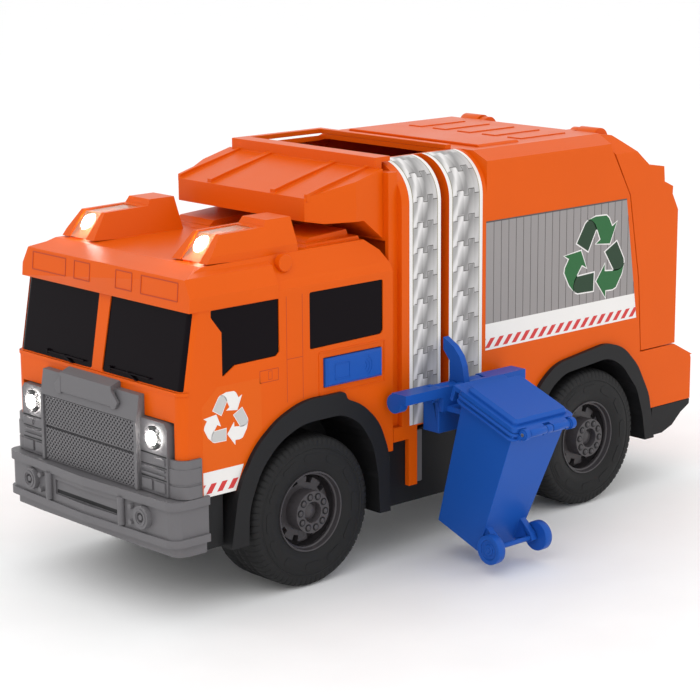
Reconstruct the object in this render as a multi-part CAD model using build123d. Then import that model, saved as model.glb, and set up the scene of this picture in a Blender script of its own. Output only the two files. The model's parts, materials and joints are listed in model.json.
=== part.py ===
from build123d import *
import os

# Toy recycling truck with a bin lifter on its left side and a small wheelie bin.
# Millimetres. +X points forward, +Y to the truck's left (the lifter side) and +Z up.
# The origin is on the ground, on the truck's centre plane, midway between the two axles.

# ---- driving dimensions: running gear -------------------------------------------------
AXLE_X = 80.0            # each axle's distance from the origin
AXLE_Z = 30.0            # axle height, equal to the tyre radius
TYRE_R = 30.0
TYRE_BORE_R = 17.5
TYRE_OUT_Y = 54.1        # outer face of the tyre
TYRE_IN_Y = 27.6         # inner face of the tyre
RIM_LIP_R = 16.6
RIM_FLOOR_Y = 43.0       # floor of the rim's dish
HUB_R = 8.3
HUB_OUT_Y = 54.0
HUB_RECESS_R = 4.2
AXLE_R = 2.0
AXLE_BORE_R = 2.07
AXLE_HALF = 50.0

# ---- driving dimensions: cab ----------------------------------------------------------
HALF_W = 52.6            # half width of cab and body
WALL = 2.0
INNER_HALF_W = HALF_W - WALL
CAB_REAR_X = 36.0
CAB_FRONT_X = 142.0
CAB_BOTTOM_Z = 46.0
BELT_Z = 87.2            # the belt line, where the windscreen starts
SCREEN_FOOT_X = 141.2
CAB_CORNER_R = 3.6       # must stay larger than the panes' inset, WALL + PANE_BACK
PANE_DEPTH = 0.5         # how far the panes stand behind the shell's face
PANE_BACK = 1.2          # thickness of the panes' backing behind the shell
BROW_X = 137.6
BROW_REAR_X = 95.0
BROW_HALF = 53.1
POD_IN_Y = 24.0
POD_OUT_Y = 45.5
POD_FRONT_X = 123.0

# ---- driving dimensions: refuse body --------------------------------------------------
BODY_FRONT_X = 31.0
BODY_BOTTOM_Z = 54.0
ROOF_Z = 160.5
ROOF_EDGE_Y = 44.5
SIDE_TOP_Z = 156.8
TRACK_R = 17.0           # round roof edge of the lifter's section
TRACK_REAR_X = -16.5
HOPPER_X = (-10.0, 29.0)
HOPPER_Y = (-41.0, 35.0)
RIM_TOP_Z = 162.5
RIM_WALL = 3.0
SEAM = [(-96.0, ROOF_Z), (-96.0, 155.0), (-93.2, 154.6), (-105.4, 133.4), (-112.2, 95.2), (-114.5, 63.0)]
SEAM_GAP = 0.5
SKIRT_TOP_Z = 62.6
REAR_X = -150.0
REAR_STEP_X = -138.0

# ---- driving dimensions: bin lifter ---------------------------------------------------
LIFT_X = 7.25            # middle of the lifter and of its slot
SLOT_HALF = 2.3
SLOT_RIB = 8.0           # depth of the rib behind the slot's rear edge
LIFT_TRAVEL = 84.0
PIVOT_Y = 59.4
PIVOT_Z = 68.0
PIN_R = 1.5
PIN_BORE_R = 1.55
BLOCK_HALF = 12.5
BLOCK_OUT_Y = 62.0
BLOCK_IN_Y = 53.0
BLOCK_Z = 51.8
BAR_HALF = 34.0
BAR_Y = (57.4, 65.5)
BAR_Z = (67.5, 71.4)
FIN_HALF = 1.5
FOOT_Z = (52.8, 57.0)    # height of the carriage's foot behind the slot

# ---- driving dimensions: wheelie bin --------------------------------------------------
BIN_TILT = 20.0          # how far the hanging bin leans, its top outwards
BIN_Y = 92.1             # centre of the bin's rim
BIN_Z = 66.3
BIN_H = 58.5
BIN_TOP = (15.2, 14.4)   # half sizes of the bin under its rim, along X and outwards
BIN_FOOT = (11.5, 12.0)
BIN_WALL = 1.3
BIN_RIM = (17.0, 16.0)
BIN_WHEEL_R = 6.0
BIN_AXLE_AT = (19.4, -52.0)
BIN_AXLE_R = 1.0
LID_HINGE_AT = (18.2, 0.6)
LID_PIN_R = 0.7
KNUCKLE_R = 1.6
BIN_KNUCKLES_X = (-13.0, 0.0, 13.0)
LID_KNUCKLES_X = (-6.5, 6.5)

# ---- driving dimensions: tailgate hinge, button, electrics ----------------------------
GATE_X = -99.0
GATE_Z = 157.0
GATE_PIN_R = 1.3
GATE_NOSE_R = 6.0        # round front top edge of the gate, about its hinge
GATE_ROOM_R = 6.4        # room for that edge in the body
GATE_BOSS_R = 5.0
GATE_BOSS_Y = (30.0, 40.5)
GATE_EAR_Y = (25.6, 29.5)
BUTTON_X = (42.8, 72.4)
BUTTON_Z = (78.2, 89.4)
BUTTON_TRAVEL = 1.8
BUTTON_GAP = 0.3
CELL_R = 7.1
CELL_L = 50.0
LAMP_Y = 38.8
LAMP_Z = 68.8
LAMP_R = 4.6
DIODE_R = 1.5

# ---- driving dimensions: chassis -----------------------------------------------------
TUB_HALF = 25.6
TUB_X = (-122.0, 133.0)
TUB_Z = (22.0, 46.0)
MID_X = (-38.0, 35.6)
MID_HALF = 50.0
MID_TOP_Z = 52.0
BATTERY_X = (-36.0, 24.0)
BATTERY_HALF = 17.0
SCREW_R = 1.3
SCREW_HEAD_R = 2.6
SCREW_AT = [(118.0, 14.0), (118.0, -14.0), (40.0, 14.0), (40.0, -14.0), (-112.0, 14.0), (-112.0, -14.0)]

# ---- driving dimensions: wheel arches ------------------------------------------------
FENDER_IN_Y = 44.0
FENDER_OUT_Y = 54.6
LINER = 1.6
LINER_IN_Y = 25.8
# Arch outlines: X, Z and the radius of the rounding at that corner, front to rear.
FRONT_ARCH_OUT = [
    (121.0, 24.0, 0.0), (117.0, 47.0, 34.0), (108.0, 61.5, 34.0), (97.0, 70.0, 34.0),
    (84.0, 75.2, 34.0), (63.0, 75.2, 2.4), (62.0, 72.0, 2.4), (54.0, 68.5, 24.0), (45.0, 60.0, 24.0),
    (40.0, 47.0, 24.0), (39.2, 22.2, 0.0),
]
FRONT_ARCH_IN = [
    (112.6, 22.0, 0.0), (112.0, 38.0, 28.0), (106.0, 52.0, 28.0), (97.0, 61.0, 28.0),
    (85.0, 66.3, 28.0), (64.0, 66.3, 16.0), (55.0, 61.0, 16.0), (48.5, 51.0, 18.0), (45.8, 38.0, 18.0),
    (45.0, 22.0, 0.0),
]
REAR_ARCH_OUT = [
    (-40.6, 22.2, 0.0), (-41.5, 47.0, 24.0), (-47.0, 58.5, 24.0), (-58.0, 66.5, 22.0),
    (-90.0, 70.6, 22.0), (-101.0, 67.5, 22.0), (-111.0, 57.5, 22.0), (-119.0, 43.0, 22.0),
    (-123.0, 22.4, 0.0),
]
REAR_ARCH_IN = [
    (-46.6, 22.0, 0.0), (-47.6, 45.0, 18.0), (-54.0, 56.0, 18.0), (-63.0, 61.5, 16.0),
    (-92.0, 64.0, 16.0), (-101.0, 58.5, 16.0), (-110.5, 47.0, 16.0), (-114.6, 35.0, 16.0),
    (-117.0, 22.0, 0.0),
]

# ---- driving dimensions: cab outlines ------------------------------------------------
CAB_SIDE = [
    (CAB_REAR_X, CAB_BOTTOM_Z), (CAB_REAR_X, 121.5), (39.0, 127.0), (45.0, 131.5), (126.0, 131.0),
    (134.4, 128.2), (160.0, 119.0), (160.0, CAB_BOTTOM_Z),
]
CAB_FRONT = [(HALF_W, 20.0), (HALF_W, 119.0), (51.0, 122.5), (45.5, 131.6), (45.5, 140.0)]
SCREEN_SLOPE = (-5.3, 0.0, 29.2)
WINDOW_FRONT = [
    (127.3, 116.0), (127.3, 113.4), (125.0, 110.4), (122.4, 107.2), (122.4, 90.2), (116.2, 93.9),
    (96.4, 94.2), (94.6, 95.6), (94.6, 116.0),
]
WINDOW_REAR = [(79.4, 116.2), (79.4, 94.0), (42.4, 94.6), (41.2, 96.0), (41.2, 116.2)]
SCREEN_PANE = [(3.6, 116.0), (3.2, 88.0), (4.2, 87.4), (51.7, 87.4), (51.6, 116.0)]
LENS_X = (96.0, 116.4)
BROW_SIDE = [(90.0, 116.4), (90.0, 132.0), (126.0, 131.0), (BROW_X - 1.0, 128.0), (BROW_X, 116.4)]

# ---- driving dimensions: front end ---------------------------------------------------
GRILLE_X = 145.2
PANEL_X = 144.2
BUMPER_PLAN = [(130.4, 53.0), (146.6, 53.0), (149.0, 0.0), (146.6, -53.0), (130.4, -53.0)]
BUMPER_CORNER_R = 4.0

# ---- driving dimensions: body and tailgate outlines ----------------------------------
BODY_SECTION = [(HALF_W, 20.0), (HALF_W, SIDE_TOP_Z), (ROOF_EDGE_Y, ROOF_Z)]
HOOD_REAR_X = CAB_REAR_X - 0.3
HOOD_SIDE = [
    (HOOD_REAR_X, 158.4), (61.0, 151.8), (69.6, 149.4), (69.6, 140.4), (62.0, 139.0), (46.0, 139.0),
    (HOOD_REAR_X, 130.6),
]
HOOD_ROOM = [
    (34.0, 156.0), (60.0, 149.8), (67.4, 147.6), (67.4, 142.4), (61.0, 141.2), (46.0, 141.2), (36.5, 134.0),
]
HOOD_PLAN = [(30.0, 47.0), (50.0, 47.0), (69.6, 39.0)]
HOOD_ROOM_PLAN = [(30.0, 44.6), (49.4, 44.6), (67.4, 37.2)]
HOOD_RIB = [(36.0, 157.0), (36.0, 159.2), (61.0, 153.2), (69.0, 151.0), (69.0, 148.0)]
HOOD_RIBS = [(-39.0, 0.9), (-19.5, 1.4), (19.5, 1.4), (39.0, 0.9)]    # each rib's Y and half width
GATE_SEAM = [(x - SEAM_GAP, z) for x, z in SEAM[3:]]
GATE_SIDE = [
    (-90.8, ROOF_Z), (-100.4, ROOF_Z - 1.2), (-104.0, 156.6), (-118.0, 145.4), (-128.0, 143.8),
    (-128.6, 137.0), (-134.4, 134.4), (-134.2, 131.0), (-138.2, 123.6), (-138.2, 63.2),
    (GATE_SEAM[2][0], 63.2), GATE_SEAM[1], GATE_SEAM[0],
]
GATE_MOUTH = [(-95.0, 152.0), (-99.0, 152.0), (-108.6, 133.4), (-115.4, 95.2), (-117.4, 65.2), (-100.0, 65.2)]

# ---- driving dimensions: lifter and board --------------------------------------------
HORN = [
    (65.5, 71.0), (64.2, 77.9), (62.5, 81.7), (59.2, 85.2), (53.3, 88.3), (53.3, 83.3), (56.9, 79.2),
    (56.9, 72.9), (56.4, 68.0), (57.6, 65.2), (61.2, 64.6), (65.5, 66.4),
]
BUTTON_MID = ((BUTTON_X[0] + BUTTON_X[1]) / 2, (BUTTON_Z[0] + BUTTON_Z[1]) / 2)
BOARD_Y = (38.0, 39.4)


# ---- shape helpers --------------------------------------------------------------------
def block(x, y, z):
    """A box from three (low, high) pairs."""
    size = (x[1] - x[0], y[1] - y[0], z[1] - z[0])
    return Pos((x[0] + x[1]) / 2, (y[0] + y[1]) / 2, (z[0] + z[1]) / 2) * Box(*size)


def flat(axis, outline, at, inset=0.0):
    """A flat face on the plane axis = at; the outline gives the two other coordinates in X, Y, Z order."""
    place = {
        "x": lambda a, b: (at, a, b),
        "y": lambda a, b: (a, at, b),
        "z": lambda a, b: (a, b, at),
    }[axis]
    face = make_face(Polyline(*[place(a, b) for a, b in outline], close=True)).face()
    if inset:
        face = offset(face, amount=-inset, kind=Kind.INTERSECTION).face()
    return face


def prism(axis, outline, low, high, radius=0.0, inset=0.0):
    """A straight prism over the outline, from low to high along axis, its corners rounded to radius."""
    face = flat(axis, outline, low, inset)
    if radius:
        face = face.fillet_2d(radius, face.vertices())
    direction = {"x": (1, 0, 0), "y": (0, 1, 0), "z": (0, 0, 1)}[axis]
    return extrude(face, amount=high - low, dir=direction)


def rod(axis, centre, radius, low, high):
    """A cylinder along axis from low to high; centre gives the two other coordinates in X, Y, Z order."""
    turn = {"x": Rot(0, 90, 0), "y": Rot(-90, 0, 0), "z": Rot(0, 0, 0)}[axis]
    a, b = centre
    mid = (low + high) / 2
    place = {"x": Pos(mid, a, b), "y": Pos(a, mid, b), "z": Pos(a, b, mid)}[axis]
    return place * turn * Cylinder(radius, high - low)


def both_sides(shape):
    """The shape and its mirror image across the truck's centre plane."""
    return shape + mirror(shape, about=Plane.XZ)


def rectangle(half_a, half_b):
    return [(-half_a, -half_b), (half_a, -half_b), (half_a, half_b), (-half_a, half_b)]


def other_side(shape):
    return mirror(shape, about=Plane.XZ)


def mirrored_outline(half):
    """A closed outline from its +Y half, listed from the bottom up."""
    return half + [(-a, b) for a, b in reversed(half)]


# ---- running gear ---------------------------------------------------------------------
def tyre(side):
    """A soft tyre: a crowned tread, round shoulders and sidewalls that bulge past the rim."""
    mid = (TYRE_IN_Y + TYRE_OUT_Y) / 2
    half = (TYRE_OUT_Y - TYRE_IN_Y) / 2
    section = [
        (TYRE_BORE_R, -half + 3.0), (TYRE_BORE_R + 4.0, -half), (TYRE_R - 6.0, -half),
        (TYRE_R - 0.8, -half + 3.5), (TYRE_R, -half + 8.0), (TYRE_R, half - 8.0),
        (TYRE_R - 0.8, half - 3.5), (TYRE_R - 6.0, half), (TYRE_BORE_R + 4.0, half),
        (TYRE_BORE_R, half - 3.0),
    ]
    ring = make_face(Polyline(*[(r, mid + w, 0) for r, w in section], close=True)).face()
    wheel = Pos(0, 0, AXLE_Z) * revolve(ring, axis=Axis.Y)
    return wheel if side > 0 else other_side(wheel)


def rim(side):
    """A dished rim: a barrel in the tyre, a lip, a dish floor and a hub that stands out of the dish."""
    lip_y = TYRE_OUT_Y - 1.6
    barrel = rod("y", (0, AXLE_Z), TYRE_BORE_R, TYRE_IN_Y + 3.2, lip_y)
    dish = rod("y", (0, AXLE_Z), RIM_LIP_R - 0.8, RIM_FLOOR_Y, lip_y)
    hub = rod("y", (0, AXLE_Z), HUB_R, RIM_FLOOR_Y, HUB_OUT_Y)
    recess = rod("y", (0, AXLE_Z), HUB_RECESS_R, HUB_OUT_Y - 3.0, HUB_OUT_Y)
    back = rod("y", (0, AXLE_Z), TYRE_BORE_R - 2.0, TYRE_IN_Y + 3.2, RIM_FLOOR_Y - 2.0)
    stem = rod("y", (0, AXLE_Z), 5.0, TYRE_IN_Y + 1.0, RIM_FLOOR_Y)
    bore = rod("y", (0, AXLE_Z), AXLE_R, TYRE_IN_Y, AXLE_HALF)
    wheel = barrel - dish - back + hub - recess + stem - bore
    return wheel if side > 0 else other_side(wheel)


def axle():
    return rod("y", (0, AXLE_Z), AXLE_R, -AXLE_HALF, AXLE_HALF)


# ---- chassis --------------------------------------------------------------------------
def chassis():
    """The black base: a long tub between the wheels and a wide box between the axles, open at the top."""
    tub = block(TUB_X, (-TUB_HALF, TUB_HALF), TUB_Z)
    room_half = TUB_HALF - WALL
    tub -= block((TUB_X[0] + WALL, TUB_X[1] - WALL), (-room_half, room_half), (TUB_Z[0] + WALL, 60.0))
    middle = block(MID_X, (-MID_HALF, MID_HALF), (TUB_Z[0], MID_TOP_Z))
    room_half = MID_HALF - WALL
    middle -= block((MID_X[0] + WALL, MID_X[1] - WALL), (-room_half, room_half), (TUB_Z[0] + WALL, 60.0))
    base = tub + middle
    base += block((121.6, TUB_X[1]), (-50.6, 50.6), (TUB_Z[0] + 3.0, 27.0))
    base += both_sides(block((121.6, 130.0), (48.8, 50.6), (TUB_Z[0] + 3.0, 45.8)))
    for x in (-AXLE_X, AXLE_X):
        for side in (-1, 1):
            y = sorted((side * (TUB_HALF - WALL - 3.0), side * (TUB_HALF - WALL)))
            base += block((x - 6.0, x + 6.0), y, (TUB_Z[0] + WALL, TUB_Z[1] - 6.0))
        base -= rod("y", (x, AXLE_Z), AXLE_BORE_R, -60.0, 60.0)
    base -= block(BATTERY_X, (-BATTERY_HALF, BATTERY_HALF), (TUB_Z[0] - 1.0, TUB_Z[0] + WALL + 1.0))
    for x, y in SCREW_AT:
        base += rod("z", (x, y), 3.4, TUB_Z[0] + WALL, 30.0)
        base -= rod("z", (x, y), SCREW_R, TUB_Z[0] - 1.0, 31.0)
        base -= rod("z", (x, y), SCREW_HEAD_R, TUB_Z[0] - 1.0, TUB_Z[0] + 1.6)
    return base


def screws():
    """The self-tapping screws that hold the shells down on the chassis, seen from below."""
    shape = None
    for x, y in SCREW_AT:
        screw = rod("z", (x, y), SCREW_R, TUB_Z[0] + 1.5, 29.5)
        screw += rod("z", (x, y), SCREW_HEAD_R - 0.1, TUB_Z[0] + 0.2, TUB_Z[0] + 1.6)
        screw -= block((x - 1.8, x + 1.8), (y - 0.35, y + 0.35), (TUB_Z[0], TUB_Z[0] + 0.9))
        screw -= block((x - 0.35, x + 0.35), (y - 1.8, y + 1.8), (TUB_Z[0], TUB_Z[0] + 0.9))
        shape = screw if shape is None else shape + screw
    return shape


def arch_face(outline, at, inset=0.0):
    """The face inside an arch outline on the plane Y = at, with its corners rounded."""
    face = flat("y", [(x, z) for x, z, _ in outline], at)
    for x, z, radius in outline:
        if radius:
            corner = face.vertices().sort_by_distance(Vector(x, at, z))[0]
            face = face.fillet_2d(radius, [corner])
    if inset:
        face = offset(face, amount=-inset, kind=Kind.INTERSECTION).face()
    return face


def arch_prism(outline, low, high, inset=0.0):
    return extrude(arch_face(outline, low, inset), amount=high - low, dir=(0, 1, 0))


def arch_cut(outline):
    """What the wheel arch takes out of the shells, through the whole width and down to the ground."""
    front, rear = outline[0][0], outline[-1][0]
    return arch_prism(outline + [(rear, 0.0, 0.0), (front, 0.0, 0.0)], -60.0, 60.0)


def arch(outer, inner):
    """A wheel-arch moulding: a bent band outside the tyre and a thin liner that closes the wheel well."""
    foot = inner[0][1]
    band = arch_prism(outer, FENDER_IN_Y, FENDER_OUT_Y) - arch_prism(inner, FENDER_IN_Y, FENDER_OUT_Y)
    liner = arch_prism(inner, LINER_IN_Y, FENDER_IN_Y, -LINER) - arch_prism(inner, LINER_IN_Y + 1.0, 60.0)
    liner -= block((-200.0, 200.0), (0.0, 60.0), (0.0, foot))
    liner -= block((-200.0, 200.0), (0.0, LINER_IN_Y + 1.0), (0.0, TUB_Z[1]))
    return band + liner


# ---- cab ------------------------------------------------------------------------------
def cab_plan(front_x, inset, z):
    """The cab's plan outline at height z, with round front corners, moved inwards by inset."""
    outline = [
        (CAB_REAR_X + inset, -HALF_W + inset), (front_x - inset, -HALF_W + inset),
        (front_x - inset, HALF_W - inset), (CAB_REAR_X + inset, HALF_W - inset),
    ]
    face = flat("z", outline, z)
    corners = [v for v in face.vertices() if v.X > CAB_REAR_X + 50.0]
    return face.fillet_2d(CAB_CORNER_R - inset, corners)


def cab_form(inset):
    """The cab's closed outer form, moved inwards by inset: upright up to the belt, then sloping back."""
    low = CAB_BOTTOM_Z + inset
    lower = extrude(cab_plan(CAB_FRONT_X, inset, low), amount=BELT_Z - low, dir=(0, 0, 1))
    upper = extrude(cab_plan(SCREEN_FOOT_X, inset, BELT_Z), amount=50.0, dir=SCREEN_SLOPE)
    side = prism("y", CAB_SIDE, -60.0, 60.0, inset=inset)
    return (lower + upper) & side & prism("x", mirrored_outline(CAB_FRONT), 0.0, 200.0, inset=inset)


def screen_holes():
    pane = prism("x", SCREEN_PANE, 128.0, 150.0, radius=0.6)
    return both_sides(pane)


def window_holes():
    """The two side windows' openings on the left side."""
    return prism("y", WINDOW_FRONT, 40.0, 60.0, radius=0.5) + prism("y", WINDOW_REAR, 40.0, 60.0, radius=0.9)


def pod_outline():
    return [(78.5, 130.0), (79.8, 144.2), (92.0, 144.2), (93.4, 141.8), (114.8, 141.4), (POD_FRONT_X, 131.5)]


def roof_pods():
    """The two lamp fairings on the roof: a raised block behind a flatter nose, narrower at the top."""
    body = prism("y", pod_outline(), POD_IN_Y, POD_OUT_Y)
    across = [(POD_IN_Y, 129.0), (POD_OUT_Y + 1.5, 129.0), (42.4, 144.5), (29.0, 144.5)]
    return both_sides(body & prism("x", across, 70.0, 130.0))


def lamp_pockets():
    """The pockets in the pods' noses that hold the lamp lenses."""
    pocket = [(LENS_X[0], 136.0), (LENS_X[0], 145.0), (130.0, 145.0), (130.0, 131.2), (118.5, 131.2)]
    return both_sides(prism("y", pocket, 30.0, 41.0))


def roof_lamp_lens():
    """A clear wedge in the pod's nose, with a hollow for its lamp."""
    wedge = [(LENS_X[0], 136.0), (LENS_X[0], 141.4), (114.4, 141.0), (122.4, 131.6), (118.5, 131.2)]
    lens = prism("y", wedge, 30.0, 41.0)
    return lens - rod("x", (35.5, 137.6), 2.0, LENS_X[0], 108.0)


def roof_ducts():
    """The ribbed raised ducts on the roof behind the pods."""
    duct = prism("y", [(47.0, 130.0), (49.0, 135.4), (68.0, 134.2), (74.0, 130.0)], 18.0, 40.0)
    step = prism("y", [(44.5, 130.0), (46.0, 132.9), (72.0, 132.4), (76.0, 130.0)], 16.0, 43.5)
    return both_sides(duct + step)


def cab_shell():
    """The orange cab: a thin shell with a brow, roof pods, window openings and wheel arches."""
    shell = cab_form(0.0)
    brow_half = [(BROW_HALF, 116.4), (BROW_HALF, 121.4), (49.6, 128.2), (44.0, 130.8)]
    brow = prism("x", mirrored_outline(brow_half), BROW_REAR_X, BROW_X)
    shell += brow & prism("y", BROW_SIDE, -60.0, 60.0)
    shell += roof_pods() + roof_ducts()
    shell -= cab_form(WALL) + block((CAB_REAR_X + WALL, CAB_FRONT_X - WALL), (-46.0, 46.0), (30.0, 50.0))
    shell -= lamp_pockets() + screen_holes() + both_sides(window_holes())
    shell -= arch_cut(FRONT_ARCH_OUT)
    shell -= nose_opening() + button_well()
    return shell + block((CAB_REAR_X + 1.0, 43.0), (BOARD_Y[1], BOARD_Y[1] + 2.0), (76.0, 96.0))


def nose_opening():
    """The opening in the cab's front that the grey nose fills."""
    return block((139.0, 150.0), (-48.4, 48.4), (40.0, 75.6))


def button_well():
    """The hole in the left side that the push button moves in."""
    return block(
        (BUTTON_X[0] - BUTTON_GAP, BUTTON_X[1] + BUTTON_GAP),
        (45.0, 60.0),
        (BUTTON_Z[0] - BUTTON_GAP, BUTTON_Z[1] + BUTTON_GAP),
    )


def windscreen():
    """Two dark panes on one backing strip behind the windscreen's openings."""
    layer = cab_form(PANE_DEPTH) - cab_form(WALL)
    backing = cab_form(WALL) - cab_form(WALL + PANE_BACK)
    strip = prism("x", [(-49.0, 84.0), (49.0, 84.0), (49.0, 115.4), (-49.0, 115.4)], 126.0, 150.0)
    return (layer & screen_holes()) + (backing & strip)


def side_windows(side):
    """Two dark panes on one backing plate behind the side windows."""
    layer = cab_form(PANE_DEPTH) - cab_form(WALL)
    plate = block((38.6, 126.0), (50.6 - PANE_BACK, 50.6), (91.8, 117.6)) - cab_corner_room()
    glass = (layer & window_holes()) + plate
    return glass if side > 0 else other_side(glass)


def cab_corner_room():
    return prism("z", [(124.0, 40.0), (140.0, 40.0), (140.0, 60.0), (124.0, 60.0)], 80.0, 130.0)


# ---- front end ------------------------------------------------------------------------
def front_grille():
    """The grey nose: mesh panel and hood in the middle, lamp panels, side louvres and corner wraps."""
    nose = block((139.2, GRILLE_X), (-30.4, 30.4), (47.2, 76.0))
    hood = [(140.0, 73.6), (GRILLE_X + 1.0, 73.6), (GRILLE_X - 0.6, 83.4), (140.0, 83.8)]
    nose += prism("y", hood, -30.8, 30.8)
    scoop = [(140.0, 74.0), (GRILLE_X + 1.6, 77.0), (GRILLE_X + 1.6, 84.6), (140.0, 87.1)]
    nose += prism("y", scoop, -16.4, 16.4)
    panel = [(30.4, 47.2), (46.6, 47.2), (46.6, 73.0), (44.8, 75.2), (30.4, 75.2)]
    nose += both_sides(prism("x", panel, 139.2, PANEL_X))
    wrap = cab_form(-1.2) - cab_form(0.0)
    nose += wrap & both_sides(block((133.6, 150.0), (44.0, 60.0), (47.2, 61.9)))
    for side in (-1, 1):
        nose -= rod("x", (side * LAMP_Y, LAMP_Z), LAMP_R, PANEL_X - 3.2, 160.0)
        nose -= rod("x", (side * LAMP_Y, LAMP_Z), DIODE_R, 130.0, 150.0)
        nose += block((GRILLE_X, GRILLE_X + 1.2), sorted((side * 29.2, side * 30.8)), (47.4, 73.6))
    nose -= block((GRILLE_X - 0.8, 160.0), (-29.0, 29.0), (60.6, 61.4))
    return nose - (cab_form(0.0) - nose_opening())


def headlamp_lens():
    """A clear round lens with a softened front edge, hollow behind for its lamp."""
    lens = rod("x", (LAMP_Y, LAMP_Z), LAMP_R, PANEL_X - 3.2, PANEL_X + 1.3)
    lens = fillet(lens.faces().sort_by(Axis.X)[-1].edges(), 1.1)
    return lens - rod("x", (LAMP_Y, LAMP_Z), 2.0, PANEL_X - 3.2, PANEL_X - 0.4)


def bumper_band(grow, low, high):
    """A band of the bumper's plan outline with round front corners, grown outwards, from low to high."""
    outline = []
    for x, y in BUMPER_PLAN:
        outward = grow if y > 0 else -grow if y < 0 else 0.0
        outline.append((x + (grow if x > 131.0 else 0.0), y + outward))
    face = flat("z", outline, low)
    corners = [v for v in face.vertices() if v.X > 140.0 and abs(v.Y) > 10.0]
    return extrude(face.fillet_2d(BUMPER_CORNER_R + grow, corners), amount=high - low, dir=(0, 0, 1))


def front_bumper():
    """The grey front bumper: a band with a bead above and below, a chin, fog lamps and tow bosses."""
    band = bumper_band(0.0, 29.6, 46.0)
    beads = bumper_band(1.0, 43.6, 47.0) + bumper_band(1.0, 29.4, 32.4)
    chin = bumper_band(-1.5, 24.6, 29.6)
    slope = [(120.0, 29.7), (152.0, 29.7), (146.0, 25.6), (138.0, 24.4), (120.0, 24.4)]
    chin = chin & prism("y", slope, -60.0, 60.0)
    bumper = band + beads + chin
    bumper -= prism("z", [(120.0, -50.6), (136.0, -50.6), (136.0, 50.6), (120.0, 50.6)], 20.0, 50.0)
    bumper -= block((130.0, CAB_FRONT_X), (-50.6, 50.6), (30.0, 44.0))
    bumper -= block((147.4, 152.0), (-20.0, 20.0), (35.6, 41.4)) + cab_form(0.0)
    for side in (-1, 1):
        bumper += rod("x", (side * 36.1, 38.6), 4.4, 143.0, 149.6)
        bumper -= rod("x", (side * 36.1, 38.6), 2.0, 148.4, 152.0)
        bumper += rod("z", (148.6, side * 23.4), 1.5, 33.0, 43.8)
        for z in (35.4, 41.4):
            bumper += rod("x", (side * 29.3, z), 1.0, 145.0, 149.4)
    return bumper


# ---- refuse body ----------------------------------------------------------------------
def body_form(inset):
    """The body's closed form ahead of the tailgate seam, moved inwards by inset on its sides and roof."""
    half = HALF_W - inset
    top = ROOF_Z - inset
    front = BODY_FRONT_X - inset
    side = [(front, BODY_BOTTOM_Z), (front, top), (SEAM[0][0], top)] + SEAM[1:]
    side.append((SEAM[-1][0], BODY_BOTTOM_Z))
    section = prism("x", mirrored_outline(BODY_SECTION), -160.0, 60.0, inset=inset)
    return prism("y", side, -half, half) & section


def track_corner(x_low, x_high, inset):
    """What the lifter section's round roof edge takes off the square body, on the left side."""
    centre = (HALF_W - TRACK_R, ROOF_Z - TRACK_R)
    corner = block((x_low, x_high), (centre[0], 60.0), (centre[1], 170.0))
    return corner - rod("x", centre, TRACK_R - inset, x_low - 1.0, x_high + 1.0)


def slot_rib():
    """A deep rib behind the slot's rear edge, which the carriage's neck runs along."""
    outer = body_form(0.0) - track_corner(TRACK_REAR_X, BODY_FRONT_X + 1.0, 0.0)
    inner = body_form(SLOT_RIB) - track_corner(TRACK_REAR_X - 1.0, BODY_FRONT_X, SLOT_RIB)
    rear = LIFT_X - SLOT_HALF
    return (outer - inner) & block((rear - 1.6, rear), (HOPPER_Y[1] + 1.0, 60.0), (BODY_BOTTOM_Z, 170.0))


def refuse_body():
    """The orange body: side walls, floor, roof with the hopper mouth, rear frame and lifter slot."""
    outer = body_form(0.0) - both_sides(track_corner(TRACK_REAR_X, BODY_FRONT_X + 1.0, 0.0))
    cavity = body_form(WALL) - both_sides(track_corner(TRACK_REAR_X - 1.0, BODY_FRONT_X, WALL))
    cavity &= block((-160.0, 60.0), (-60.0, 60.0), (BODY_BOTTOM_Z + WALL, 170.0))
    shell = outer - cavity
    shell -= block(HOPPER_X, HOPPER_Y, (ROOF_Z - 5.0, 170.0))
    neck = block((BODY_FRONT_X, CAB_REAR_X - 0.3), (-50.0, 50.0), (MID_TOP_Z + 0.2, 157.0))
    shell += neck - block((BODY_FRONT_X - 1.0, CAB_REAR_X + 1.0), (-48.0, 48.0), (MID_TOP_Z, 155.0))
    step = block((BODY_FRONT_X, CAB_REAR_X - 0.3), (-48.0, 48.0), (130.0, 157.0))
    shell += step - block((BODY_FRONT_X - 1.0, CAB_REAR_X - 2.0), (-46.0, 46.0), (132.0, 155.0))
    shell += block((27.2, 35.6), (50.4, HALF_W), (49.2, BODY_BOTTOM_Z + 1.0))
    shell += block((22.6, 27.2), (50.4, HALF_W), (29.6, BODY_BOTTOM_Z + 1.0))
    shell += lower_tail()
    shell -= arch_cut(REAR_ARCH_OUT)
    shell -= block((LIFT_X - SLOT_HALF, LIFT_X + SLOT_HALF), (HOPPER_Y[1] + 1.0, 60.0), (40.0, 170.0))
    shell -= block((LIFT_X - 9.0, LIFT_X + 9.0), (44.0, INNER_HALF_W), (40.0, BODY_BOTTOM_Z + 8.0))
    shell += slot_rib()
    shell -= rod("y", (GATE_X, GATE_Z), GATE_ROOM_R, -60.0, 60.0)
    ear = rod("y", (GATE_X, GATE_Z), GATE_BOSS_R - 0.6, *GATE_EAR_Y)
    ear += block((GATE_X, -90.0), GATE_EAR_Y, (GATE_Z - 2.0, ROOF_Z))
    ear -= rod("y", (GATE_X, GATE_Z), GATE_PIN_R, 20.0, 40.0)
    shell += both_sides(ear)
    return shell


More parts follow.
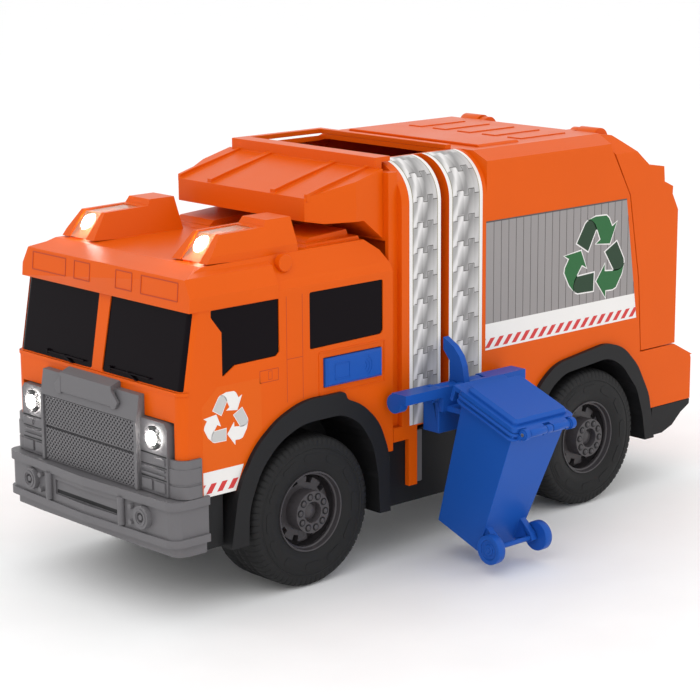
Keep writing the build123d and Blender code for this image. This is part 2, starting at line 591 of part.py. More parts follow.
def lower_tail():
    """The fixed block under the tailgate, with its ledge at the rear."""
    side = [
        (-113.0, 35.6), (-113.0, SKIRT_TOP_Z), (REAR_STEP_X, SKIRT_TOP_Z), (REAR_X + 0.6, 56.4),
        (REAR_X, 54.4), (REAR_X, 35.6),
    ]
    tail = prism("y", side, -HALF_W, HALF_W)
    hollow = [
        (-115.0, 30.0), (-115.0, SKIRT_TOP_Z - WALL), (REAR_STEP_X, SKIRT_TOP_Z - WALL),
        (-148.0, 54.6), (-148.0, 30.0),
    ]
    tail -= prism("y", hollow, -INNER_HALF_W, INNER_HALF_W)
    ledge = [(-136.0, 56.0), (-136.0, SKIRT_TOP_Z), (REAR_STEP_X, SKIRT_TOP_Z), (REAR_X - 0.8, 56.0)]
    return tail + prism("y", ledge, -HALF_W, HALF_W)


def mirrored_plan(half):
    """A tall prism over a plan given by its +Y half."""
    return prism("z", half + [(x, -y) for x, y in reversed(half)], 120.0, 170.0)


def hopper():
    """The hopper on top: a rim round the mouth and a hood that slopes down over the cab's roof."""
    low_x, high_x = HOPPER_X
    low_y, high_y = HOPPER_Y
    rim = block((low_x - RIM_WALL, high_x + 7.0), (low_y - RIM_WALL, high_y + 0.6), (ROOF_Z, RIM_TOP_Z))
    rim -= block((low_x, high_x), (low_y, high_y + 5.0), (ROOF_Z - 1.0, 170.0))
    rim += block((high_x, CAB_REAR_X + 1.0), (-44.0, 44.0), (157.0, RIM_TOP_Z))
    rim -= block((high_x - 1.0, high_x + 4.5), (-50.0, 50.0), (150.0, ROOF_Z))
    hood = prism("y", HOOD_SIDE, -47.0, 47.0) & mirrored_plan(HOOD_PLAN)
    hood -= prism("y", HOOD_ROOM, -44.6, 44.6) & mirrored_plan(HOOD_ROOM_PLAN)
    for y, half in HOOD_RIBS:
        hood += prism("y", HOOD_RIB, y - half, y + half)
    return rim + hood


# ---- tailgate -------------------------------------------------------------------------
def gate_form(inset):
    """The tailgate's closed form behind the seam, moved inwards by inset."""
    half = HALF_W - inset
    section = mirrored_outline([(HALF_W, 20.0), (HALF_W, 152.0), (ROOF_EDGE_Y, ROOF_Z + 0.1)])
    form = prism("y", GATE_SIDE, -half, half, inset=inset)
    return form & prism("x", section, -160.0, -80.0, inset=inset)


def tailgate():
    """The orange rear gate: a shell open towards the body, with a rounded top edge and hinge bosses."""
    gate = gate_form(0.0)
    nose = block((GATE_X, -80.0), (-60.0, 60.0), (GATE_Z - 2.9, 170.0))
    gate -= nose - rod("y", (GATE_X, GATE_Z), GATE_NOSE_R, -60.0, 60.0)
    gate -= gate_form(WALL) - rod("y", (GATE_X, GATE_Z), GATE_NOSE_R, -60.0, 60.0)
    gate -= prism("y", GATE_MOUTH, -50.6, 50.6)
    gate += both_sides(rod("y", (GATE_X, GATE_Z), GATE_BOSS_R, *GATE_BOSS_Y))
    room = (GATE_EAR_Y[0] - 0.3, GATE_EAR_Y[1] + 0.3)
    notch = rod("y", (GATE_X, GATE_Z), GATE_ROOM_R, *room)
    notch += block((GATE_X, -80.0), room, (GATE_Z - 6.0, 170.0))
    gate -= both_sides(notch)
    return gate - both_sides(rod("y", (GATE_X, GATE_Z), GATE_PIN_R + 0.05, 20.0, 39.0))


def gate_pins():
    """Two short pins, pressed into the body's ears, that the tailgate turns on."""
    return both_sides(rod("y", (GATE_X, GATE_Z), GATE_PIN_R, GATE_EAR_Y[0], 38.6))


def rear_bumper():
    """The black moulding under the tail."""
    side = [
        (-123.4, 22.6), (-131.0, 22.6), (-138.0, 25.0), (-144.0, 30.0), (REAR_X + 0.2, 33.0),
        (REAR_X, 35.4), (-123.4, 35.4),
    ]
    hollow = [(-123.0, 24.6), (-131.0, 24.6), (-141.0, 31.0), (-141.0, 40.0), (-123.0, 40.0)]
    return prism("y", side, -HALF_W, HALF_W) - prism("y", hollow, -INNER_HALF_W, INNER_HALF_W)


# ---- bin lifter -----------------------------------------------------------------------
def lift_guide():
    """The grey guide strip let into the chassis side beside the lifter."""
    return block((18.6, 21.4), (MID_HALF, 51.2), (30.0, 51.6))


def lift_carriage():
    """The sliding block: round at the top about the pin, slit for the horn, with a foot in the slot."""
    body = block((LIFT_X - BLOCK_HALF, LIFT_X + BLOCK_HALF), (BLOCK_IN_Y, BLOCK_OUT_Y), (BLOCK_Z, PIVOT_Z))
    body += rod("x", (PIVOT_Y, PIVOT_Z), 3.4, LIFT_X - BLOCK_HALF, LIFT_X + BLOCK_HALF)
    body -= block((LIFT_X - FIN_HALF - 0.4, LIFT_X + FIN_HALF + 0.4), (40.0, 63.0), (60.4, 80.0))
    body += block((LIFT_X - 1.9, LIFT_X + 1.9), (49.6, BLOCK_IN_Y + 1.0), FOOT_Z)
    body += block((LIFT_X - 1.9, LIFT_X + 7.0), (49.0, 50.2), FOOT_Z)
    return body - rod("x", (PIVOT_Y, PIVOT_Z), PIN_BORE_R, LIFT_X - 20.0, LIFT_X + 20.0)


def lift_pin():
    """The steel pin that the cradle turns on; it is held in the cradle's two cheeks."""
    return rod("x", (PIVOT_Y, PIVOT_Z), PIN_R, LIFT_X - 16.2, LIFT_X + 16.2)


def lift_arm():
    """The cradle: a long bar with hooked ends, a middle plate with an upturned tongue, and the horn."""
    arm = None
    for side in (-1, 1):
        near = LIFT_X + side * (BLOCK_HALF + 0.4)
        far = LIFT_X + side * BAR_HALF
        part = block(sorted((near, far)), BAR_Y, BAR_Z)
        part += rod("x", (PIVOT_Y - 0.8, PIVOT_Z - 0.8), 3.9, *sorted((far - side * 4.0, far)))
        part += rod("x", (PIVOT_Y, PIVOT_Z), 3.6, *sorted((near, near + side * 3.2)))
        arm = part if arm is None else arm + part
    middle = (LIFT_X - BLOCK_HALF - 1.0, LIFT_X + BLOCK_HALF + 1.0)
    arm += block(middle, (63.2, BAR_Y[1]), (61.4, BAR_Z[1]))
    arm += block((LIFT_X - 11.0, LIFT_X + 11.0), (63.2, 74.6), (61.4, 63.6))
    arm += block((LIFT_X - 11.0, LIFT_X + 11.0), (72.8, 74.6), (61.4, 70.6))
    arm += prism("x", HORN, LIFT_X - FIN_HALF, LIFT_X + FIN_HALF)
    return arm - rod("x", (PIVOT_Y, PIVOT_Z), PIN_R, LIFT_X - 16.2, LIFT_X + 16.2)


# ---- wheelie bin ----------------------------------------------------------------------
def hang(shape):
    """Moves a bin piece from its upright drawing, rim centre at the origin, to where it hangs."""
    return Pos(LIFT_X, BIN_Y, BIN_Z) * Rot(-BIN_TILT, 0, 0) * shape


def bin_frustum(top, foot, high, low):
    """A four-sided tapered block from its half sizes at the top and at the foot."""
    faces = [Pos(0, 0, z) * Rectangle(2 * half[0], 2 * half[1]) for z, half in ((high, top), (low, foot))]
    return loft(faces[0].faces() + faces[1].faces())


def bin_body():
    """The bin: a tapered tub with a rolled rim, a grab lip towards the truck and two axle lugs."""
    tub = bin_frustum(BIN_TOP, BIN_FOOT, 0.0, -BIN_H)
    inner_top = (BIN_TOP[0] - BIN_WALL, BIN_TOP[1] - BIN_WALL)
    inner_foot = (BIN_FOOT[0] - BIN_WALL, BIN_FOOT[1] - BIN_WALL)
    rim = Pos(0, 0, -1.6) * Box(2 * BIN_RIM[0] - 0.8, 2 * BIN_RIM[1] - 0.8, 3.2)
    lip_low = -BIN_RIM[1] - 5.6
    lip = block((-14.0, 14.0), (lip_low, -BIN_TOP[1]), (-1.8, 0.0))
    lip += block((-14.0, 14.0), (lip_low, lip_low + 1.6), (-6.6, 0.0))
    hinge_y, hinge_z = LID_HINGE_AT
    for x in BIN_KNUCKLES_X:
        lip += block((x - 1.5, x + 1.5), (BIN_TOP[1] - 0.5, hinge_y), (-2.4, -0.4))
        lip += rod("x", LID_HINGE_AT, KNUCKLE_R, x - 1.5, x + 1.5)
    axle_y, axle_z = BIN_AXLE_AT
    lug = [
        (10.0, -46.0), (axle_y, axle_z + 2.2), (axle_y + 2.0, axle_z), (axle_y, axle_z - 2.2), (10.0, -57.6),
    ]
    for side in (-1, 1):
        lip += prism("x", lug, *sorted((side * 8.0, side * 11.0)))
    tub += rim + lip
    tub -= bin_frustum(inner_top, inner_foot, 0.01, -BIN_H + BIN_WALL)
    tub -= rod("x", (axle_y, axle_z), BIN_AXLE_R + 0.05, -20.0, 20.0)
    tub -= rod("x", LID_HINGE_AT, LID_PIN_R, -20.0, 20.0)
    return hang(tub)


def bin_lid():
    """The bin's lid: a rolled edge, a low dome and hinge knuckles on the wheel side."""
    half_x, half_y = BIN_RIM
    edge = prism("z", rectangle(half_x, half_y), 0.3, 2.1, radius=2.0)
    dome = prism("z", rectangle(half_x - 2.0, half_y - 2.0), 2.1, 4.4, radius=2.0)
    lid = edge + chamfer(dome.faces().sort_by(Axis.Z)[-1].edges(), 1.2)
    hinge_y = LID_HINGE_AT[0]
    for x in LID_KNUCKLES_X:
        lid += block((x - 4.6, x + 4.6), (half_y - 1.0, hinge_y), (0.3, 2.1))
        lid += rod("x", LID_HINGE_AT, KNUCKLE_R, x - 4.6, x + 4.6)
    for x in BIN_KNUCKLES_X:
        lid -= block((x - 1.9, x + 1.9), (hinge_y - 2.2, hinge_y + 3.0), (-2.0, 3.0))
    lid -= rod("x", LID_HINGE_AT, LID_PIN_R + 0.05, -20.0, 20.0)
    room = [(BIN_TOP[0] - gap, BIN_TOP[1] - gap) for gap in (2.4, 2.0)]
    lid -= bin_frustum(*room, 2.9, 0.2)
    return hang(lid)


def lid_pin():
    return hang(rod("x", LID_HINGE_AT, LID_PIN_R, -14.6, 14.6))


def bin_axle():
    return hang(rod("x", BIN_AXLE_AT, BIN_AXLE_R, -15.4, 15.4))


def bin_wheel(side):
    """A small bin wheel with stepped rings on its outer face."""
    low, high = sorted((side * 11.6, side * 15.4))
    face = side * 15.4
    wheel = rod("x", BIN_AXLE_AT, BIN_WHEEL_R, low, high)
    step = sorted((face - side * 0.7, face))
    wheel -= rod("x", BIN_AXLE_AT, 4.0, *step) - rod("x", BIN_AXLE_AT, 2.2, *step)
    return hang(wheel - rod("x", BIN_AXLE_AT, BIN_AXLE_R, low - 1.0, high + 1.0))


# ---- button and electrics -------------------------------------------------------------
def push_button():
    """The blue sound-and-light button: a wide cap with a low relief, and a stem to the switch."""
    cap = block(BUTTON_X, (50.0, 54.4), BUTTON_Z)
    cap = chamfer(cap.faces().sort_by(Axis.Y)[-1].edges(), 0.9)
    flange_x = (BUTTON_X[0] - 2.0, BUTTON_X[1] + 2.0)
    flange = block(flange_x, (48.8, 50.3), (BUTTON_Z[0] - 2.0, BUTTON_Z[1] + 2.0))
    stem = rod("y", BUTTON_MID, 1.6, 43.6, 49.0)
    return cap + flange + stem


def circuit_board():
    """The sound and light board with its tact switch, on a bracket of the cab's rear wall."""
    x, z = BUTTON_MID
    board = block((x - 19.0, x + 20.0), BOARD_Y, (z - 13.0, z + 13.0))
    board += rod("y", BUTTON_MID, 2.2, BOARD_Y[1], 41.4)
    board += block((x + 8.0, x + 16.0), (BOARD_Y[0] - 1.6, BOARD_Y[0]), (z - 4.0, z + 4.0))
    return board


def speaker():
    """The round loudspeaker that lies on the tub's floor under the cab."""
    cone = rod("z", (60.0, 0.0), 14.0, 24.2, 29.6)
    magnet = rod("z", (60.0, 0.0), 6.5, 29.6, 34.0)
    return cone + magnet


def batteries():
    """Two round cells side by side in the tub."""
    x = (BATTERY_X[0] + 3.0, BATTERY_X[0] + 3.0 + CELL_L)
    cell = rod("x", (7.6, 32.4), CELL_R, *x) + rod("x", (7.6, 32.4), 2.6, x[1], x[1] + 1.2)
    return both_sides(cell)


def battery_door():
    """The cover under the cells, flush with the chassis, with a thumb recess."""
    gap = 0.25
    half = BATTERY_HALF - gap
    door = block((BATTERY_X[0] + gap, BATTERY_X[1] - gap), (-half, half), (TUB_Z[0], TUB_Z[0] + WALL))
    return door - rod("z", (BATTERY_X[1] - 6.0, 0.0), 3.0, TUB_Z[0] - 1.0, TUB_Z[0] + 0.8)


def lamp_diodes():
    """The light diodes behind the two headlamps and in the two roof lamps."""
    head = rod("x", (LAMP_Y, LAMP_Z), DIODE_R, PANEL_X - 7.0, PANEL_X - 1.4)
    roof = rod("x", (35.5, 137.6), DIODE_R, 97.0, 104.0)
    return both_sides(head) + both_sides(roof)


# ---- the pieces, in their places ------------------------------------------------------
def at_axle(shape, x):
    return Pos(x, 0, 0) * shape


def pieces():
    parts = {
        "chassis": chassis(),
        "cab_shell": cab_shell(),
        "windscreen": windscreen(),
        "front_grille": front_grille(),
        "front_bumper": front_bumper(),
        "refuse_body": refuse_body(),
        "hopper": hopper(),
        "tailgate": tailgate(),
        "gate_pins": gate_pins(),
        "rear_bumper": rear_bumper(),
        "lift_guide": lift_guide(),
        "lift_carriage": lift_carriage(),
        "lift_pin": lift_pin(),
        "lift_arm": lift_arm(),
        "bin_body": bin_body(),
        "bin_lid": bin_lid(),
        "bin_lid_pin": lid_pin(),
        "bin_axle": bin_axle(),
        "push_button": push_button(),
        "circuit_board": circuit_board(),
        "speaker": speaker(),
        "batteries": batteries(),
        "battery_door": battery_door(),
        "lamp_diodes": lamp_diodes(),
        "screws": screws(),
    }
    for name, side in (("left", 1), ("right", -1)):
        parts[f"side_windows_{name}"] = side_windows(side)
        lens, roof_lens = headlamp_lens(), roof_lamp_lens()
        front_arch, rear_arch = arch(FRONT_ARCH_OUT, FRONT_ARCH_IN), arch(REAR_ARCH_OUT, REAR_ARCH_IN)
        if side < 0:
            lens, roof_lens = other_side(lens), other_side(roof_lens)
            front_arch, rear_arch = other_side(front_arch), other_side(rear_arch)
        parts[f"headlamp_lens_{name}"] = lens
        parts[f"roof_lamp_lens_{name}"] = roof_lens
        parts[f"front_fender_{name}"] = front_arch
        parts[f"rear_fender_{name}"] = rear_arch
        for end, x in (("front", AXLE_X), ("rear", -AXLE_X)):
            parts[f"tyre_{end}_{name}"] = at_axle(tyre(side), x)
            parts[f"rim_{end}_{name}"] = at_axle(rim(side), x)
    parts["bin_wheel_front"] = bin_wheel(1)
    parts["bin_wheel_rear"] = bin_wheel(-1)
    parts["front_axle"] = at_axle(axle(), AXLE_X)
    parts["rear_axle"] = at_axle(axle(), -AXLE_X)
    return parts


os.makedirs("parts", exist_ok=True)
for node, shape in pieces().items():
    export_step(shape, f"parts/{node}.step")
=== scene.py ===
"""A toy recycling truck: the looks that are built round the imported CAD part."""

import json
import math

import bpy
from mathutils import Matrix, Vector

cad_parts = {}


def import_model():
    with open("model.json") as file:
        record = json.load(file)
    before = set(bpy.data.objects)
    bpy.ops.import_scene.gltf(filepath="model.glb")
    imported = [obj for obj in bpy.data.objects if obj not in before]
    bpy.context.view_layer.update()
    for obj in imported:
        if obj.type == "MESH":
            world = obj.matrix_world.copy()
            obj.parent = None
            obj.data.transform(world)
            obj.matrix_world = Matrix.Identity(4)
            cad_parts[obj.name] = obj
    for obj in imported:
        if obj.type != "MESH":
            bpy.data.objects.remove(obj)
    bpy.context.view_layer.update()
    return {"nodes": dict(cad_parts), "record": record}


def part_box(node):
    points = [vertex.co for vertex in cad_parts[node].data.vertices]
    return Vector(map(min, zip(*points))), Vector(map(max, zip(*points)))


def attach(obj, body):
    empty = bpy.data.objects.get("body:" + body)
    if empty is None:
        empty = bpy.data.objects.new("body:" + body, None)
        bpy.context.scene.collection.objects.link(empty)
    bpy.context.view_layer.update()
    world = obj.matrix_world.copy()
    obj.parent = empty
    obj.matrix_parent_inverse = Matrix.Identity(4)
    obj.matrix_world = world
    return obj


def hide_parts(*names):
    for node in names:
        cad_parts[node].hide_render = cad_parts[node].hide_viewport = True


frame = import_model()
MM = 0.001               # one millimetre in metres: shapes are drawn in millimetres
CAD = frame["nodes"]
HALF_W = 52.6            # half width of cab and body
ROOF_Z = 160.5
CAB_FRONT_X = 142.0
CAB_CORNER_R = 3.6


# ---- materials -------------------------------------------------------------------------
CLOUD_SCALE = 35.0       # size of the clouds in a plastic's colour and gloss
MOTTLE = 0.035           # how far the clouds darken and lighten the colour
GRAIN_SCALE = 1500.0     # how fine the surface grain is


def plastic(name, colour, rough=0.35, coat=0.0, specular=0.3, grain=0.05):
    """A moulded plastic: faint clouds in its colour and gloss, and a fine grain on its surface."""
    mat = bpy.data.materials.new(name)
    mat.use_nodes = True
    tree = mat.node_tree
    shader = tree.nodes["Principled BSDF"]
    shader.inputs["Coat Weight"].default_value = coat
    shader.inputs["Coat Roughness"].default_value = 0.12
    shader.inputs["Specular IOR Level"].default_value = specular
    coords = tree.nodes.new("ShaderNodeTexCoord")
    cloud = noise_node(tree, coords, CLOUD_SCALE, 3.0)
    tint = tree.nodes.new("ShaderNodeMix")
    tint.data_type = "RGBA"
    tint.inputs["A"].default_value = (*[c * (1.0 - MOTTLE) for c in colour], 1.0)
    tint.inputs["B"].default_value = (*[min(1.0, c * (1.0 + MOTTLE)) for c in colour], 1.0)
    tree.links.new(cloud.outputs["Fac"], tint.inputs["Factor"])
    tree.links.new(tint.outputs["Result"], shader.inputs["Base Color"])
    gloss = tree.nodes.new("ShaderNodeMapRange")
    gloss.inputs["From Min"].default_value = 0.3
    gloss.inputs["From Max"].default_value = 0.7
    gloss.inputs["To Min"].default_value = max(0.0, rough - 0.03)
    gloss.inputs["To Max"].default_value = rough + 0.04
    tree.links.new(cloud.outputs["Fac"], gloss.inputs["Value"])
    tree.links.new(gloss.outputs["Result"], shader.inputs["Roughness"])
    fine = noise_node(tree, coords, GRAIN_SCALE, 2.0)
    bump = tree.nodes.new("ShaderNodeBump")
    bump.inputs["Strength"].default_value = grain
    bump.inputs["Distance"].default_value = 0.0001
    tree.links.new(fine.outputs["Fac"], bump.inputs["Height"])
    tree.links.new(bump.outputs["Normal"], shader.inputs["Normal"])
    return mat


def noise_node(tree, coords, scale, detail):
    noise = tree.nodes.new("ShaderNodeTexNoise")
    noise.inputs["Scale"].default_value = scale
    noise.inputs["Detail"].default_value = detail
    tree.links.new(coords.outputs["Object"], noise.inputs["Vector"])
    return noise


def metal(name, colour, rough):
    mat = plastic(name, colour, rough)
    mat.node_tree.nodes["Principled BSDF"].inputs["Metallic"].default_value = 1.0
    return mat


def clear(name, colour, rough=0.05):
    """A clear or tinted transparent plastic."""
    mat = plastic(name, colour, rough)
    shader = mat.node_tree.nodes["Principled BSDF"]
    shader.inputs["Transmission Weight"].default_value = 0.95
    shader.inputs["IOR"].default_value = 1.46
    return mat


def glow(name, colour, strength):
    mat = plastic(name, colour, 0.4)
    shader = mat.node_tree.nodes["Principled BSDF"]
    shader.inputs["Emission Color"].default_value = (*colour, 1.0)
    shader.inputs["Emission Strength"].default_value = strength
    return mat


def tinted(name, colour, transmission, rough):
    """A coloured lens that still hides most of what is behind it."""
    mat = clear(name, colour, rough)
    mat.node_tree.nodes["Principled BSDF"].inputs["Transmission Weight"].default_value = transmission
    return mat


def shaded(name, attribute, rough):
    """A print whose tone comes from a colour layer of its mesh."""
    mat = plastic(name, (0.5, 0.5, 0.5), rough)
    tree = mat.node_tree
    layer = tree.nodes.new("ShaderNodeAttribute")
    layer.attribute_name = attribute
    tree.links.new(layer.outputs["Color"], tree.nodes["Principled BSDF"].inputs["Base Color"])
    return mat


MATERIALS = {
    "orange_plastic": plastic("orange_plastic", (0.71, 0.098, 0.002), 0.33, specular=0.12),
    "blue_plastic": plastic("blue_plastic", (0.012, 0.085, 0.40), 0.33, specular=0.12),
    "grey_plastic": plastic("grey_plastic", (0.135, 0.13, 0.137), 0.42, grain=0.1),
    "black_plastic": plastic("black_plastic", (0.011, 0.011, 0.012), 0.48, specular=0.2, grain=0.1),
    "black_glass": plastic("black_glass", (0.006, 0.004, 0.0055), 0.12, specular=0.05),
    "clear_plastic": clear("clear_plastic", (0.95, 0.95, 0.94)),
    "amber_plastic": tinted("amber_plastic", (0.85, 0.34, 0.18), 0.45, 0.15),
    "rim_plastic": plastic("rim_plastic", (0.055, 0.05, 0.054), 0.3, coat=0.12),
    "tyre_rubber": plastic("tyre_rubber", (0.014, 0.014, 0.0145), 0.6, specular=0.2, grain=0.3),
    "steel": metal("steel", (0.6, 0.6, 0.6), 0.3),
    "battery_steel": plastic("battery_steel", (0.03, 0.03, 0.03), 0.25),
    "board_plastic": plastic("board_plastic", (0.01, 0.12, 0.04), 0.4),
}
WHITE = plastic("print_white", (0.80, 0.78, 0.76), 0.35)
RED = plastic("print_red", (0.60, 0.035, 0.035), 0.35)
GREEN = plastic("print_green", (0.014, 0.12, 0.03), 0.35)
DARK_GREEN = plastic("print_dark_green", (0.01, 0.04, 0.015), 0.35)
PRINT_GREY = plastic("print_grey", (0.285, 0.265, 0.262), 0.35)
PRINT_DARK = plastic("print_dark", (0.085, 0.075, 0.072), 0.35)
PRINT_PALE = plastic("print_pale", (0.53, 0.53, 0.52), 0.35)
PRINT_ORANGE = plastic("print_orange", (0.71, 0.108, 0.003), 0.4, specular=0.15)
OLIVE = plastic("print_olive", (0.20, 0.17, 0.05), 0.35)
# the silver plates' painted highlight and painted shade come from their colour layer
PAINTED_SHEEN_SILVER = shaded("print_silver_painted_sheen", "tone", 0.3)
# a darker orange: painted shade in the cab's seams and grooves
SEAM_SHADE_ORANGE = plastic("orange_seam_painted_shade", (0.46, 0.045, 0.006), 0.45)
LAMP = glow("lamp", (1.0, 0.97, 0.92), 40.0)


# ---- CAD pieces: materials and softened edges ------------------------------------------
EDGE_RADIUS = 0.35       # on the sharp edges of a CAD piece
SHARP_EDGE = math.radians(28.0)
WELD = 0.00001


def soften(obj, width):
    """Gives the sharp edges a small moulded radius."""
    bevel = obj.modifiers.new("bevel", "BEVEL")
    bevel.width = width * MM
    bevel.segments = 2
    bevel.limit_method = "ANGLE"
    bevel.angle_limit = SHARP_EDGE
    bevel.harden_normals = True


def dress(node):
    """Gives a CAD piece its record material and softened edges."""
    obj = CAD[node]
    slot = next(p["material_slot"] for p in frame["record"]["subparts"] if p["node"] == node)
    obj.data.materials.clear()
    obj.data.materials.append(MATERIALS[slot])
    weld = obj.modifiers.new("weld", "WELD")
    weld.merge_threshold = WELD
    soften(obj, EDGE_RADIUS)


for name in CAD:
    dress(name)


# ---- shapes: lists of (vertices in millimetres, faces) ---------------------------------
def box(x, y, z):
    corners = [(a, b, c) for a in x for b in y for c in z]
    faces = [(0, 1, 3, 2), (4, 6, 7, 5), (0, 4, 5, 1), (2, 3, 7, 6), (0, 2, 6, 4), (1, 5, 7, 3)]
    return [(corners, faces)]


def stand(axis, points, at):
    """Points of a 2-D outline, given in X, Y, Z order, stood on the plane axis = at."""
    if axis == "x":
        return [(at, a, b) for a, b in points]
    if axis == "y":
        return [(a, at, b) for a, b in points]
    return [(a, b, at) for a, b in points]


def prism(axis, outline, low, high):
    n = len(outline)
    verts = stand(axis, outline, low) + stand(axis, outline, high)
    faces = [tuple(range(n)), tuple(range(2 * n - 1, n - 1, -1))]
    faces += [(k, n + k, n + (k + 1) % n, (k + 1) % n) for k in range(n)]
    return [(verts, faces)]


def polar(centre, radius, angle):
    return centre[0] + radius * math.cos(angle), centre[1] + radius * math.sin(angle)


def circle(centre, radius, sides=40):
    return [polar(centre, radius, 2 * math.pi * k / sides) for k in range(sides)]


def rod(axis, centre, radius, low, high, sides=40):
    return prism(axis, circle(centre, radius, sides), low, high)


def sweep_rings(rings, closed_path=True, closed_ring=True):
    """A skin over rings of equally many points."""
    n, m = len(rings), len(rings[0])
    verts = [p for ring in rings for p in ring]
    faces = []
    for i in range(n if closed_path else n - 1):
        for j in range(m if closed_ring else m - 1):
            a, b = i * m + j, i * m + (j + 1) % m
            c, d = ((i + 1) % n) * m + (j + 1) % m, ((i + 1) % n) * m + j
            faces.append((a, b, c, d))
    return [(verts, faces)]


def lathe(profile, centre, sides=72):
    """Turns a profile of (radius, y) round the Y axis through centre = (x, z)."""
    rings = []
    for k in range(sides):
        angle = 2 * math.pi * k / sides
        rings.append([stand("y", [polar(centre, r, angle)], y)[0] for r, y in profile])
    return sweep_rings(rings)


def tube(axis, centre, outer, inner, low, high, sides=48):
    rings = []
    for k in range(sides):
        angle = 2 * math.pi * k / sides
        corners = ((inner, low), (outer, low), (outer, high), (inner, high))
        rings.append([stand(axis, [polar(centre, radius, angle)], at)[0] for radius, at in corners])
    return sweep_rings(rings)


def moved(shapes, change):
    """The shapes with change applied to each vertex."""
    return [([change(v) for v in verts], faces) for verts, faces in shapes]


def flipped(shapes):
    """The mirror image across the truck's centre plane."""
    result = []
    for verts, faces in shapes:
        result.append(([(x, -y, z) for x, y, z in verts], [tuple(reversed(f)) for f in faces]))
    return result


def both(shapes):
    return shapes + flipped(shapes)


def piece(name, shapes, material, body, bevel=0.0, crease=38.0):
    """Makes one object of the shapes, in place, riding on a CAD body."""
    verts, faces = [], []
    for part_verts, part_faces in shapes:
        start = len(verts)
        verts += [(x * MM, y * MM, z * MM) for x, y, z in part_verts]
        faces += [tuple(start + i for i in f) for f in part_faces]
    mesh = bpy.data.meshes.new(name)
    mesh.from_pydata(verts, [], faces)
    mesh.validate()
    mesh.materials.append(material)
    mesh.shade_smooth()
    mesh.set_sharp_from_angle(angle=math.radians(crease))
    obj = bpy.data.objects.new(name, mesh)
    bpy.context.collection.objects.link(obj)
    if bevel:
        soften(obj, bevel)
    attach(obj, body)
    return obj


def span(node):
    """The CAD node's box in millimetres: (low x, high x), (low y, high y), (low z, high z)."""
    low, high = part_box(node)
    return tuple((low[k] / MM, high[k] / MM) for k in range(3))


# ---- wheels ----------------------------------------------------------------------------
LUGS = 70
STEPS = 6                # mesh steps from one lug to the next
PADS = 12
TEETH = 10
NUTS = 10
NUT_CIRCLE_R = 6.35
PULL = 0.8               # how far a groove pulls the sidewall in, as a share of its depth

# Kinds of groove: depth, which of a lug's steps it is at (None: all the way round), and whether
# it also pulls the sidewall in.
NO_GROOVE = (0.0, 0, False)
CHANNEL = (0.5, None, False)
SIDE_NICK = (0.15, 0, True)
OUTER_LUG = (0.3, 0, True)
INNER_LUG = (0.3, 3, True)
OUTER_SHOULDER = (0.3, 1, False)
INNER_SHOULDER = (0.3, 2, False)
OUTER_BLOCK = (0.5, 3, False)
INNER_BLOCK = (0.5, 5, False)

# The outer sidewall from the rim outwards: radius, depth below the tyre's face, groove.
SIDEWALL = [
    (15.9, 2.6, NO_GROOVE), (16.0, 1.5, NO_GROOVE), (17.0, 1.1, NO_GROOVE), (18.6, 0.45, NO_GROOVE),
    (20.0, 0.2, NO_GROOVE), (22.6, 0.1, NO_GROOVE), (24.6, 0.25, NO_GROOVE), (25.0, 0.45, NO_GROOVE),
    (25.4, 0.2, NO_GROOVE), (25.8, 0.5, NO_GROOVE), (26.6, 0.4, SIDE_NICK), (27.6, 0.5, OUTER_LUG),
    (28.8, 1.0, OUTER_LUG), (29.5, 2.0, OUTER_LUG), (29.9, 3.4, OUTER_LUG),
]
# The tread across its width: distance from the middle, groove.
TREAD = [
    (7.4, OUTER_SHOULDER), (5.0, OUTER_SHOULDER), (4.4, CHANNEL), (3.4, CHANNEL), (2.8, OUTER_BLOCK),
    (0.6, OUTER_BLOCK), (0.0, CHANNEL), (-0.6, INNER_BLOCK), (-2.8, INNER_BLOCK), (-3.4, CHANNEL),
    (-4.4, CHANNEL), (-5.0, INNER_SHOULDER), (-7.4, INNER_SHOULDER),
]


def tyre_shape(centre, out_y, in_y, radius):
    """A truck tyre: ringed sidewalls, shoulder lugs and a tread cut into staggered blocks."""
    mid, half = (out_y + in_y) / 2, (out_y - in_y) / 2
    outer = [(r, half - depth, groove) for r, depth, groove in SIDEWALL]
    inner = [(r, -w, INNER_LUG if groove is OUTER_LUG else groove) for r, w, groove in reversed(outer)]
    rows = outer + [(radius, w, groove) for w, groove in TREAD] + inner
    rings = []
    for k in range(LUGS * STEPS):
        angle = 2 * math.pi * k / (LUGS * STEPS)
        ring = []
        for r, w, (depth, step, pulls) in rows:
            cut = depth if step is None or (k + step) % STEPS == 0 else 0.0
            pull = cut * PULL if pulls else 0.0
            x, z = polar(centre, r - cut, angle)
            ring.append((x, mid + math.copysign(max(abs(w) - pull, 0.0), w), z))
        rings.append(ring)
    return sweep_rings(rings)


def sidewall_pads(centre, out_y):
    """Low raised pads on the outer sidewall."""
    low, high, width, corner = 20.3, 23.6, 0.30, 0.8
    flank = [
        (low, width * 0.5), (low + corner, width * 0.62), (high - corner, width * 0.62), (high, width * 0.45),
    ]
    outline = [(r, -a) for r, a in flank] + flank[::-1]
    pads = []
    for k in range(PADS):
        start = 2 * math.pi * k / PADS
        pads += prism("y", [polar(centre, r, start + a) for r, a in outline], out_y - 0.4, out_y - 0.02)
    return pads


